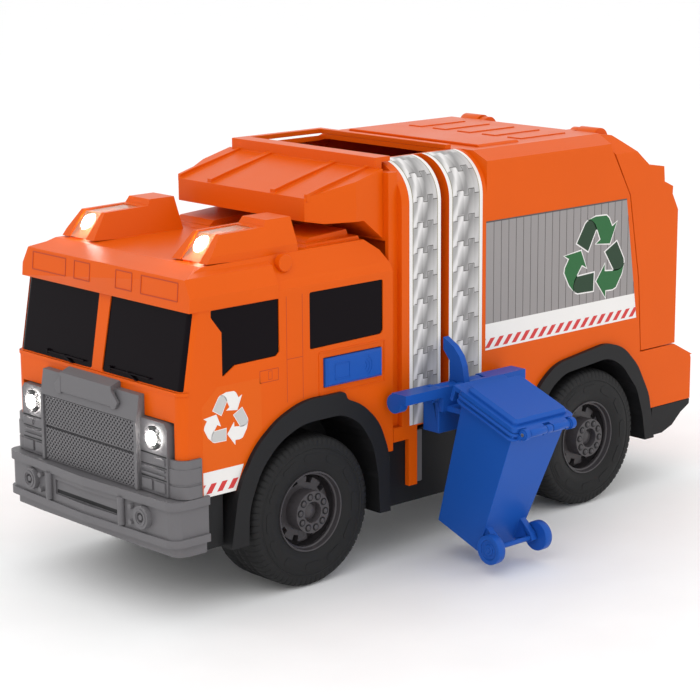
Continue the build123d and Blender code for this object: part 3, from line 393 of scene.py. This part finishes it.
def rim_details(centre, out_y):
    """A lip ring, a castellated inner ring and a domed cap, on the CAD rim."""
    lip = out_y - 1.0
    ring = [
        (15.85, lip - 4.0), (14.7, lip - 4.0), (14.2, lip - 3.2), (14.3, lip - 2.2), (14.9, lip - 1.9),
        (15.3, lip - 0.1), (15.85, lip),
    ]
    shapes = lathe(ring, centre)
    low, high = out_y - 11.2, out_y - 6.4
    for k in range(TEETH):
        start = 2 * math.pi * (k + 0.5) / TEETH
        tooth = [polar(centre, 12.9, start + a) for a in (-0.2, -0.1, 0.0, 0.1, 0.2)]
        tooth += [polar(centre, 10.4, start + a) for a in (0.2, 0.0, -0.2)]
        shapes += prism("y", tooth, low, high)
    shapes += tube("y", centre, 10.6, 8.2, low, high)
    cap = [
        (0.02, out_y - 2.9), (3.4, out_y - 2.9), (3.0, out_y - 2.2), (1.6, out_y - 1.7), (0.02, out_y - 1.5),
    ]
    return shapes + lathe(cap, centre, 40)


def nut_places(centre):
    return [polar(centre, NUT_CIRCLE_R, 2 * math.pi * k / NUTS + 0.1) for k in range(NUTS)]


# black discs under the nuts: painted shade round each nut
def nut_seat_shade(centre, out_y):
    shade_discs = []
    for at in nut_places(centre):
        shade_discs += rod("y", at, 1.5, out_y - 0.4, out_y + 0.06, 20)
    return shade_discs


def nuts(centre, out_y):
    profile = [
        (0.01, out_y - 0.1), (1.0, out_y - 0.1), (0.95, out_y + 0.35), (0.6, out_y + 0.6),
        (0.01, out_y + 0.65),
    ]
    shapes = []
    for at in nut_places(centre):
        shapes += lathe(profile, at, 16)
    return shapes


def wheel(end, side, body):
    """The looks of one wheel, drawn for the left side and mirrored for the right."""
    tag = f"{end}_{side}"
    x, y, z = span(f"tyre_{tag}")
    centre = ((x[0] + x[1]) / 2, (z[0] + z[1]) / 2)
    in_y, out_y = sorted((abs(y[0]), abs(y[1])))
    hub_y = out_y - 0.1
    groups = [
        tyre_shape(centre, out_y, in_y, (x[1] - x[0]) / 2) + sidewall_pads(centre, out_y),
        rim_details(centre, out_y),
        nut_seat_shade(centre, hub_y),
        nuts(centre, hub_y),
    ]
    if side == "right":
        groups = [flipped(shapes) for shapes in groups]
    rubber, rim = MATERIALS["tyre_rubber"], MATERIALS["rim_plastic"]
    tyre = piece(f"tyre_look_{tag}", groups[0], rubber, body, crease=50)
    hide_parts(f"tyre_{tag}")
    piece(f"rim_look_{tag}", groups[1], rim, body, bevel=0.12)
    # the black discs round the nuts are painted shade
    piece(f"nut_seat_shade_{tag}", groups[2], MATERIALS["black_plastic"], body)
    piece(f"nuts_{tag}", groups[3], rim, body)


# ---- prints and stickers ---------------------------------------------------------------
PRINT = 0.06             # how far a print stands off the plastic


def clip_low_high(points, low, high):
    """Clips a convex outline of (a, b) points to low <= a <= high."""
    for limit, keep in ((low, lambda a: a >= low), (high, lambda a: a <= high)):
        result = []
        for k, (a, b) in enumerate(points):
            p, q = points[k - 1]
            if keep(a) != keep(p):
                t = (limit - p) / (a - p)
                result.append((limit, q + t * (b - q)))
            if keep(a):
                result.append((a, b))
        points = result
        if not points:
            return []
    return points


def hazard_stripes(x_low, x_high, z_low, z_high, pitch, slant):
    """Slanted parallelograms between two heights; slant is how far the top leads the foot."""
    outlines = []
    x = x_low - abs(slant) - pitch
    while x < x_high + abs(slant):
        stripe = [(x, z_low), (x + pitch / 2, z_low), (x + pitch / 2 + slant, z_high), (x + slant, z_high)]
        stripe = clip_low_high(stripe, x_low, x_high)
        if len(stripe) > 2:
            outlines.append(stripe)
        x += pitch
    return outlines


ARROW = [
    (-0.28, 0.945), (-0.02, 1.0), (0.33, 0.985), (0.42, 0.91), (0.53, 0.70), (0.68, 0.79), (0.46, 0.30),
    (0.0, 0.35), (0.147, 0.436), (0.03, 0.70), (-0.03, 0.82), (-0.12, 0.91), (-0.2, 0.945),
]
FOLD = [
    (-0.625, 0.44), (-0.36, 0.87), (-0.29, 0.925), (-0.2, 0.93), (-0.12, 0.895), (-0.05, 0.80),
    (0.0, 0.70), (-0.257, 0.21),
]


def turned(outline, degrees):
    c, s = math.cos(math.radians(degrees)), math.sin(math.radians(degrees))
    return [(a * c - b * s, a * s + b * c) for a, b in outline]


def grown(outline, width):
    """The outline with each edge moved outwards by width and pointed corners kept short."""
    area = sum(a * d - c * b for (a, b), (c, d) in zip(outline, outline[1:] + outline[:1]))
    normals = []
    for (a, b), (c, d) in zip(outline, outline[1:] + outline[:1]):
        length = math.copysign(math.hypot(c - a, d - b), area)
        normals.append(((d - b) / length, (a - c) / length))
    result = []
    for k, (a, b) in enumerate(outline):
        (px, py), (qx, qy) = normals[k - 1], normals[k]
        reach = width / max(0.4, 1.0 + px * qx + py * qy)
        result.append((a + (px + qx) * reach, b + (py + qy) * reach))
    return result


def loop_arrows(name, centre, size, height, edge, out, colours, left):
    """Three folded arrows that chase each other round a triangle, on a rim of the first colour."""
    across = -size if left else size
    arrows, folds = [], []
    for k in range(3):
        for outline, group in ((ARROW, arrows), (FOLD, folds)):
            points = turned(outline, 120 * k)
            group.append([(centre[0] + across * u, centre[1] + height * v) for u, v in points])
    if not left:
        arrows, folds = [o[::-1] for o in arrows], [o[::-1] for o in folds]
    rims = [grown(outline, edge) for outline in arrows + folds]
    side_print(f"{name}_rims", rims, out, colours[0], left)
    side_print(f"{name}_arrows", arrows, out + 0.04, colours[1], left)
    side_print(f"{name}_folds", folds, out + 0.03, colours[2], left)


def side_print(name, outlines, out, material, left=True, depth=0.05, body="truck"):
    """Thin plates on a side of the truck, out mm from its centre plane."""
    shapes = []
    for outline in outlines:
        shapes += prism("y", outline, out - depth, out)
    if not left:
        shapes = flipped(shapes)
    return piece(name, shapes, material, body)


def body_sticker(left):
    """The printed panel on the refuse body: corrugated sheet, white band, hazard stripes and arrow loop."""
    tag = "left" if left else "right"
    layer = span("refuse_body")[1][1] + PRINT
    front, rear = -16.3, -103.3
    top, sheet_low, white_low, low = 131.7, 89.6, 83.6, 78.6
    slope = (111.2 - 103.3) / (top - low)
    rib_pitch, rib = 4.4, 0.28

    def rear_at(z):
        return rear - (top - z) * slope

    band = [(front, low), (front, sheet_low), (rear_at(sheet_low), sheet_low), (rear_at(low), low)]
    side_print(f"sticker_white_{tag}", [band], layer, WHITE, left)
    sheet = [(front, sheet_low), (front, top), (rear, top), (rear_at(sheet_low), sheet_low)]
    side_print(f"sticker_sheet_{tag}", [sheet], layer, PRINT_GREY, left)
    ribs = []
    x = front - rib_pitch
    while x > rear_at(sheet_low) + 0.3:
        high, drop = (top, 0.0) if x > rear else (top - (rear - x) / slope, 0.9)
        ribs.append([(x, sheet_low), (x, high), (x - rib, high - drop), (x - rib, sheet_low)])
        x -= rib_pitch
    ribs.append([(front, top - 0.1), (front, top + 0.5), (rear, top + 0.5), (rear, top - 0.1)])
    side_print(f"sticker_ribs_{tag}", ribs, layer + 0.03, PRINT_DARK, left)
    stripes = hazard_stripes(rear_at(low) + 0.6, front, low + 0.9, white_low - 0.2, 5.3, -3.4)
    side_print(f"sticker_stripes_{tag}", stripes, layer + 0.03, RED, left)
    colours = (WHITE, GREEN, DARK_GREEN)
    loop_arrows(f"body_loop_{tag}", (-83.6, 108.4), 19.5, 18.2, 0.55, layer + 0.06, colours, left)


def cab_sticker(left):
    """The sticker on the cab's side: an orange field with the arrow loop, a white band and hazard stripes."""
    tag = "left" if left else "right"
    out = HALF_W + PRINT
    field = [
        (132.3, 55.6), (132.3, 80.5), (125.0, 87.0), (103.85, 87.0), (103.85, 66.6), (107.0, 63.8),
        (111.6, 57.0), (112.2, 55.6),
    ]
    side_print(f"cab_field_{tag}", [field], out - 0.03, PRINT_ORANGE, left)
    white = [(132.3, 46.0), (132.3, 55.6), (113.0, 55.6), (117.0, 46.0)]
    side_print(f"cab_band_{tag}", [white], out, WHITE, left)
    stripes = hazard_stripes(115.6, 132.2, 47.3, 50.9, 5.2, -2.6)
    side_print(f"cab_stripes_{tag}", stripes, out + 0.03, RED, left)
    colours = (WHITE, WHITE, PRINT_PALE)
    loop_arrows(f"cab_loop_{tag}", (120.6, 74.0), 10.5, 10.2, 0.25, out, colours, left)


TRACK_FOOT_Z = 54.6
TRACK_BEND_R = 17.0
BEND_STEPS = 24


def track_path(offset):
    """The lifter section's side, from the foot up and over its round edge: points (y, z, distance)."""
    side = span("refuse_body")[1][1]
    centre = (side - TRACK_BEND_R, ROOF_Z - TRACK_BEND_R)
    radius, run = TRACK_BEND_R + offset, centre[1] - TRACK_FOOT_Z
    path = [(side + offset, TRACK_FOOT_Z, 0.0), (side + offset, centre[1], run)]
    for k in range(1, BEND_STEPS + 1):
        angle = math.radians(90.0 * k / BEND_STEPS)
        path.append((*polar(centre, radius, angle), run + radius * angle))
    return path


def on_track(path, distance):
    """The point (y, z) at a distance along the path."""
    for (y0, z0, d0), (y1, z1, d1) in zip(path, path[1:]):
        if distance <= d1:
            t = max(0.0, (distance - d0) / (d1 - d0))
            return y0 + t * (y1 - y0), z0 + t * (z1 - z0)
    return path[-1][0], path[-1][1]


def ribbon(x_low, x_high, start, end, offset):
    """A printed strip on the lifter section between two distances along it."""
    path = track_path(offset)
    count = max(2, int((end - start) / 1.2) + 1)
    rings = []
    for k in range(count):
        y, z = on_track(path, start + (end - start) * k / (count - 1))
        rings.append([(x_low, y, z), (x_high, y, z)])
    return sweep_rings(rings, closed_path=False, closed_ring=False)


PLATE = 10.2             # length of one printed plate
PLATE_COLUMNS = 28       # mesh columns across a strip
PLATE_STEPS = [(0.18, -2.0), (0.42, 0.0), (0.60, -2.2), (0.82, 0.3), (1.01, -1.6)]
# lightness across a plate: a painted highlight band and a painted shade band, standing in for the sheen of
# metal
PAINTED_SHEEN_TONES = [
    (-0.45, 0.34), (-0.14, 0.40), (-0.03, 0.70), (0.04, 0.76), (0.17, 0.50), (0.34, 0.27), (0.42, 0.26),
    (0.60, 0.40), (0.80, 0.54), (1.0, 0.50),
]


def joint_level(across):
    """How far the joint between two plates is shifted along the strip, at a share of its width."""
    return next(level for limit, level in PLATE_STEPS if across < limit)


def tone(across, distance):
    """How light the print is: painted highlight and painted shade bands, slanting across each plate like a
    metal sheen.
    """
    place = across - 0.37 * ((distance - joint_level(across)) % PLATE) / PLATE
    for (p, low), (q, high) in zip(PAINTED_SHEEN_TONES, PAINTED_SHEEN_TONES[1:]):
        if place <= q:
            return low + (high - low) * max(0.0, place - p) / (q - p)
    return PAINTED_SHEEN_TONES[-1][1]


def plates(name, x_high, width, end):
    """The silver face of a strip, with its painted highlight and painted shade tones in the mesh's colour
    layer.
    """
    path = track_path(0.09)
    columns = [k / PLATE_COLUMNS for k in range(PLATE_COLUMNS + 1)]
    rows = int(end / 0.5)
    rings, tones = [], []
    for k in range(rows + 1):
        distance = end * k / rows
        y, z = on_track(path, distance)
        rings.append([(x_high - width * a, y, z) for a in columns])
        tones += [tone(a, distance) for a in columns]
    skin = sweep_rings(rings, closed_path=False, closed_ring=False)
    face = piece(name, skin, PAINTED_SHEEN_SILVER, "truck")
    layer = face.data.color_attributes.new("tone", "FLOAT_COLOR", "POINT")
    layer.data.foreach_set("color", [v for t in tones for v in (t, t * 0.975, t * 0.965, 1.0)])


def joint_lines(x_high, width, level):
    """The thin stepped lines where two plates meet."""
    lines, low = [], 0.0
    for k, (limit, shift) in enumerate(PLATE_STEPS):
        high = min(limit, 1.0)
        start = low + (0.06 if k == 0 else 0.0)
        place = level + shift
        lines += ribbon(x_high - width * high, x_high - width * start, place - 0.13, place + 0.13, 0.12)
        if k:
            foot, top = sorted((PLATE_STEPS[k - 1][1], shift))
            x = x_high - width * low
            lines += ribbon(x - 0.1, x + 0.1, level + foot, level + top, 0.12)
        low = high
    return lines


def track_strips():
    """The two printed strips beside the lifter's slot: white borders, thin lines and interlocking plates with
    painted sheen.
    """
    end = track_path(0.0)[-1][2] - 1.0
    for tag, x_low, x_high in (("front", 9.6, 26.9), ("rear", -14.1, 4.9)):
        piece(f"strip_white_{tag}", ribbon(x_low, x_high, 0.0, end, 0.05), WHITE, "truck")
        inner = (x_low + 1.9, x_high - 1.9)
        plates(f"strip_plates_painted_sheen_{tag}", inner[1], inner[1] - inner[0], end)
        lines = []
        for x in inner:
            lines += ribbon(x - 0.13, x + 0.13, 0.0, end, 0.11)
        piece(f"strip_lines_{tag}", lines, OLIVE, "truck")
        joints = []
        for k in range(1, int((end - 3.0) / PLATE) + 1):
            joints += joint_lines(inner[1], inner[1] - inner[0], PLATE * k)
        piece(f"strip_joints_{tag}", joints, PRINT_DARK, "truck")


# ---- cab details -----------------------------------------------------------------------
def cab_wall_path(out, x_side, steps=12):
    """Points (x, y) round the cab's front half: left side, round corner, front, right corner, right side."""
    centre = (CAB_FRONT_X - CAB_CORNER_R, HALF_W - CAB_CORNER_R)
    half = [(x_side, HALF_W + out)]
    for k in range(steps + 1):
        half.append(polar(centre, CAB_CORNER_R + out, math.radians(90.0 - 90.0 * k / steps)))
    return half + [(x, -y) for x, y in reversed(half)]


def wall_band(x_side, z_low, z_high, out, back=0.3):
    """A band round the cab's front at one height, out mm proud of its wall."""
    outer, inner = cab_wall_path(out, x_side), cab_wall_path(-back, x_side)
    rings = [[(*a, z_low), (*a, z_high), (*b, z_high), (*b, z_low)] for a, b in zip(outer, inner)]
    verts, faces = sweep_rings(rings, closed_path=False)[0]
    last = len(verts) - 4
    return [(verts, faces + [(0, 1, 2, 3), (last + 3, last + 2, last + 1, last)])]


def frame_lines(outline, width):
    """Thin bars along a closed outline of (a, b) points."""
    bars = []
    for k in range(len(outline)):
        (a, b), (c, d) = outline[k], outline[(k + 1) % len(outline)]
        length = math.hypot(c - a, d - b)
        nx, ny = -(d - b) / length * width / 2, (c - a) / length * width / 2
        bars.append([(a + nx, b + ny), (c + nx, d + ny), (c - nx, d - ny), (a - nx, b - ny)])
    return bars


def rectangle(a, b):
    """The outline of a rectangle between two low and high values."""
    return [(a[0], b[0]), (a[1], b[0]), (a[1], b[1]), (a[0], b[1])]


def cab_details():
    """The belt, painted shade in the seams round doors and fuel cap, the button's frame, roof bosses, and
    painted shade round the brow panels.
    """
    orange, dark = MATERIALS["orange_plastic"], SEAM_SHADE_ORANGE
    belt = wall_band(138.5, 85.8, 87.2, 0.35)
    piece("cab_belt", belt, orange, "truck", bevel=0.25)
    # dark orange lines: painted shade in the seam grooves round the doors and the fuel cap
    seams = [rectangle((90.85, 91.1), (75.4, 116.3)), rectangle((82.9, 83.15), (75.4, 116.3))]
    seams += [rectangle((83.15, 90.85), (91.9, 92.15))]
    seams += frame_lines(rectangle((95.3, 104.4), (85.0, 89.6)), 0.28)
    seams += frame_lines(rectangle((98.4, 100.2), (85.8, 89.0)), 0.22)
    for left in (True, False):
        tag = "left" if left else "right"
        side_print(f"cab_seam_shade_{tag}", seams, HALF_W + 0.03, dark, left, 0.04)
    ring = frame_lines(rectangle((40.6, 74.8), (75.4, 91.9)), 0.5)
    side_print("button_frame", ring, HALF_W + 0.25, orange, True, 0.5)
    bosses = both(rod("y", (89.2, 128.4), 3.3, 47.4, 50.6, 36))
    piece("roof_bosses", bosses, orange, "truck", bevel=0.4)
    # dark orange frame lines: painted shade in the grooves round the brow's recessed panels
    brow_foot, lean = 116.4, 0.086
    bars = []
    for y in ((-46.0, -24.0), (24.0, 46.0), (-18.3, -8.3), (8.3, 18.3)):
        for bar in frame_lines(rectangle(y, (119.8, 126.6)), 0.4):
            bars += prism("x", bar, 137.2, 137.75)
    panels = moved(bars, lambda v: (v[0] - max(0.0, v[2] - brow_foot) * lean, v[1], v[2]))
    piece("brow_panel_shade", panels, dark, "truck")


def wipers():
    """Thin wiper arms and blades along the foot of each windscreen pane."""
    pane_pitch = 41.0
    wiper = box((140.2, 141.5), (8.0, 33.0), (89.2, 89.8)) + box((140.0, 141.6), (8.0, 9.2), (88.8, 90.4))
    wiper += prism("x", [(18.0, 89.7), (24.5, 87.4), (26.0, 87.4), (20.0, 90.0)], 140.2, 141.6)
    pair = wiper + moved(wiper, lambda v: (v[0], v[1] - pane_pitch, v[2]))
    piece("wipers", pair, MATERIALS["black_glass"], "truck", bevel=0.15)


# ---- nose and bumper details -----------------------------------------------------------
NOSE_X = 145.2           # the face behind the mesh
MESH_HALF = 28.9
MESH_ROWS = ((48.0, 60.5), (61.5, 73.3))
MESH_PITCH = 2.05
MESH_BAR = 0.868


def mesh_bars(z_low, z_high):
    """Crossing diagonal bars between two heights."""
    rise = z_high - z_low
    half = MESH_BAR / 2
    shapes = []
    for direction in (1, -1):
        c = -MESH_HALF - rise
        while c < MESH_HALF + rise:
            foot, top = (c, c + rise) if direction > 0 else (c + rise, c)
            bar = [(foot - half, z_low), (foot + half, z_low), (top + half, z_high), (top - half, z_high)]
            bar = clip_low_high(bar, -MESH_HALF, MESH_HALF)
            if len(bar) > 2:
                shapes += prism("x", bar, NOSE_X - 0.15, NOSE_X + 0.45 + 0.03 * direction)
            c += MESH_PITCH
    return shapes


def grille_details():
    """The mesh over a black sheet, painted shade in its openings; the louvres beside it with black lines,
    painted shade in their gaps; the corner bands and the hood's ridges.
    """
    grey, black = MATERIALS["grey_plastic"], MATERIALS["black_plastic"]
    back, bars = [], []
    for z in MESH_ROWS:
        # a black sheet behind the bars: painted shade in the mesh's openings
        back += box((NOSE_X - 0.2, NOSE_X + 0.03), (-MESH_HALF, MESH_HALF), z)
        bars += mesh_bars(*z)
    piece("grille_shade_sheet", back, black, "truck")
    piece("grille_mesh", bars, grey, "truck")
    inner, outer, wide = (31.6, 37.8), (39.2, 45.4), (31.6, 45.4)
    boxes = []
    for y, z in (
        (inner, (48.6, 52.6)), (outer, (48.6, 52.6)), (wide, (54.2, 55.2)), (wide, (56.4, 57.4)),
        (outer, (59.0, 61.6)),
    ):
        boxes += box((143.8, 144.9), y, z)
    piece("louvre_boxes", both(boxes), grey, "truck", bevel=0.25)
    # black lines in the gaps between the louvres: painted shade
    lines = []
    for z in ((62.2, 62.7), (53.2, 53.6), (58.0, 58.3)):
        lines += box((143.9, 144.3), (30.9, 46.2), z)
    piece("louvre_gap_shade", both(lines), black, "truck")
    corner_y = 45.0
    for z_low, z_high in ((47.2, 52.1), (52.9, 58.6)):
        verts, faces = wall_band(134.4, z_low, z_high, 1.55, 0.0)[0]
        corners = [f for f in faces if all(abs(verts[i][1]) > corner_y for i in f)]
        piece(f"corner_band_{int(z_low)}", [(verts, corners)], grey, "truck", bevel=0.2)
    ridge = prism("x", [(16.0, 83.6), (20.5, 79.0), (18.6, 76.2), (16.0, 76.2)], 145.6, 147.0)
    piece("hood_ridges", both(ridge), grey, "truck", bevel=0.3)


def bumper_details():
    """A ringed fog lamp and two rivets on each side, and a black plate between them, painted shade in the
    slot there.
    """
    fog_lamp = (36.1, 38.6)
    details = tube("x", fog_lamp, 3.3, 2.5, 149.0, 149.9) + rod("x", fog_lamp, 1.1, 148.0, 149.5)
    for z in (41.4, 35.7):
        details += rod("x", (50.2, z), 1.2, 138.0, 144.0, 20)
    piece("bumper_details", both(details), MATERIALS["grey_plastic"], "truck", bevel=0.15)
    # a black plate: painted shade in the bumper's slot
    slot = box((146.8, 147.5), (-19.6, 19.6), (36.0, 37.4))
    piece("bumper_slot_shade", slot, MATERIALS["black_plastic"], "truck")


# ---- lamps -----------------------------------------------------------------------------
def lamps():
    """Lit lamp cores behind the clear lenses."""
    core_r, roof_z, lean = 2.6, 137.4, 0.6
    shapes = []
    for y in (38.8, -38.8):
        shapes += rod("x", (y, 68.8), core_r, 144.6, 145.9, 32)
    for y in (35.5, -35.5):
        core = rod("x", (y, roof_z), core_r, 116.0, 118.4, 32)
        shapes += moved(core, lambda v: (v[0] + (roof_z - v[2]) * lean, v[1], v[2]))
    piece("lamp_cores", shapes, LAMP, "truck")


# ---- body details ----------------------------------------------------------------------
def body_details():
    """The raised panel and ribs on the roof, and the panels on the chassis sides."""
    orange = MATERIALS["orange_plastic"]
    shapes = prism("x", [(-40.0, 160.4), (-38.6, 161.5), (38.6, 161.5), (40.0, 160.4)], -49.0, -25.0)
    piece("roof_panel", shapes, orange, "truck", bevel=0.4)
    ribs = []
    for y in (-30.0, -15.0, 0.0, 15.0, 30.0):
        ribs += box((-84.0, -56.0), (y - 4.0, y + 4.0), (160.2, 160.95))
    piece("roof_ribs", ribs, orange, "truck", bevel=0.3)
    panels = []
    for x0, x1 in ((-34.0, -20.0), (-16.0, -2.0)):
        panels += box((x0, x1), (49.8, 50.35), (27.0, 47.0))
    piece("chassis_panels", both(panels), MATERIALS["black_plastic"], "truck", bevel=0.3)


def gate_details():
    """Raised panels on the tailgate."""
    shapes = []
    for y in (-24.0, -8.0, 8.0, 24.0):
        shapes += box((-138.7, -137.9), (y - 5.6, y + 5.6), (70.0, 118.0))
    piece("gate_panels", shapes, MATERIALS["orange_plastic"], "gate", bevel=0.3)


def button_details():
    """Low relief on the push button: a small plate and three arcs."""
    x, y, z = span("push_button")
    mid_x, mid_z = (x[0] + x[1]) / 2, (z[0] + z[1]) / 2
    line = 0.4
    marks = frame_lines(rectangle((mid_x + 3.0, mid_x + 10.5), (mid_z - 3.0, mid_z + 3.0)), line)
    for radius in (1.6, 3.0, 4.4):
        angles = [math.radians(a) for a in range(-60, 61, 15)]
        arc = [(mid_x - 4.5 - radius * math.cos(a), mid_z + radius * math.sin(a)) for a in angles]
        for p, q in zip(arc, arc[1:]):
            marks += frame_lines([p, q], line)[:1]
    blue = MATERIALS["blue_plastic"]
    side_print("button_relief", marks, y[1] + 0.16, blue, True, 0.3, "button")


# ---- wheelie bin details ---------------------------------------------------------------
def hang(shapes):
    """Moves shapes drawn upright (rim centre at the origin, +Y outwards) to where the bin hangs."""
    lean = math.radians(20.0)
    c, s = math.cos(lean), math.sin(lean)
    return moved(shapes, lambda v: (7.25 + v[0], 92.1 + v[1] * c + v[2] * s, 66.3 - v[1] * s + v[2] * c))


def rounded_rectangle(half_x, half_y, corner, steps=4):
    """Points round a rectangle with round corners, each with its outward direction."""
    points = []
    for sign_x, sign_y, start in ((1, 1, 0), (-1, 1, 90), (-1, -1, 180), (1, -1, 270)):
        centre = (sign_x * (half_x - corner), sign_y * (half_y - corner))
        for k in range(steps + 1):
            a = math.radians(start + 90.0 / steps * k)
            points.append((*polar(centre, corner, a), math.cos(a), math.sin(a)))
    return points


def bin_details():
    """The two beads round the bin's rim and the loops beside its lid pin."""
    blue = MATERIALS["blue_plastic"]
    bead_r, proud = 0.75, 0.3
    turns = [math.radians(45 * j) for j in range(8)]
    beads = []
    for z in (-2.9, -0.7):
        rings = []
        for x, y, nx, ny in rounded_rectangle(16.6 + proud, 15.6 + proud, 2.4):
            ring = []
            for b in turns:
                reach = bead_r * math.cos(b)
                ring.append((x + nx * reach, y + ny * reach, z + bead_r * math.sin(b)))
            rings.append(ring)
        beads += sweep_rings(rings)
    piece("bin_rim_beads", hang(beads), blue, "wheelie_bin")
    loops = []
    for x in (-13.0, 13.0):
        loops += hang(tube("x", (18.2, 0.6), 2.3, 1.4, x - 1.1, x + 1.1, 24))
    piece("bin_handle_loops", loops, blue, "wheelie_bin", bevel=0.2)


for end in ("front", "rear"):
    for side in ("left", "right"):
        wheel(end, side, f"{end}_wheels")
for is_left in (True, False):
    body_sticker(is_left)
    cab_sticker(is_left)
track_strips()
cab_details()
wipers()
grille_details()
bumper_details()
lamps()
body_details()
gate_details()
button_details()
bin_details()


# ---- stage -----------------------------------------------------------------------------
def floor():
    bpy.ops.mesh.primitive_plane_add(size=12.0, location=(0, 0, 0))
    ground = bpy.context.object
    ground.name = "floor"
    ground.data.materials.append(plastic("floor_white", (0.97, 0.97, 0.97), 0.6))


def area_light(name, place, target, size, power):
    light = bpy.data.lights.new(name, "AREA")
    light.shape = "RECTANGLE"
    light.size, light.size_y = size
    light.energy = power
    obj = bpy.data.objects.new(name, light)
    bpy.context.collection.objects.link(obj)
    obj.location = place
    obj.rotation_euler = (Vector(target) - Vector(place)).to_track_quat("-Z", "Y").to_euler()


def world(strength):
    scene_world = bpy.data.worlds.new("studio")
    bpy.context.scene.world = scene_world
    scene_world.use_nodes = True
    background = scene_world.node_tree.nodes["Background"]
    background.inputs["Color"].default_value = (1.0, 1.0, 1.0, 1.0)
    background.inputs["Strength"].default_value = strength


LIGHT_AIM = (0, 0, 0.06)
CAMERA_DISTANCE = 0.9235


def camera():
    """The camera of the main view."""
    azimuth, elevation, roll = math.radians(137.68), math.radians(12.74), math.radians(-0.38)
    target = Vector((0.00752, -0.00372, 0.07345))
    level = math.cos(elevation)
    away = Vector((math.sin(azimuth) * level, -math.cos(azimuth) * level, math.sin(elevation)))
    right = Vector((0, 0, 1)).cross(away).normalized()
    up = away.cross(right)
    side = right * math.cos(roll) + up * math.sin(roll)
    top = up * math.cos(roll) - right * math.sin(roll)
    data = bpy.data.cameras.new("main")
    data.lens = 112.4
    data.sensor_width = 36.0
    data.clip_start = 0.01
    obj = bpy.data.objects.new("main", data)
    bpy.context.collection.objects.link(obj)
    place = target + away * CAMERA_DISTANCE
    obj.matrix_world = Matrix(
        (
            (side.x, top.x, away.x, place.x),
            (side.y, top.y, away.y, place.y),
            (side.z, top.z, away.z, place.z),
            (0, 0, 0, 1),
        )
    )
    bpy.context.scene.camera = obj


floor()
world(1.03)
area_light("key", (1.3, 0.9, 1.5), LIGHT_AIM, (1.2, 1.2), 5.0)
area_light("side", (-0.4, 1.6, 0.9), LIGHT_AIM, (1.4, 0.9), 1.5)
area_light("top", (0.0, -0.3, 1.9), LIGHT_AIM, (1.6, 1.6), 2.0)
camera()
bpy.context.scene.view_settings.view_transform = "Standard"
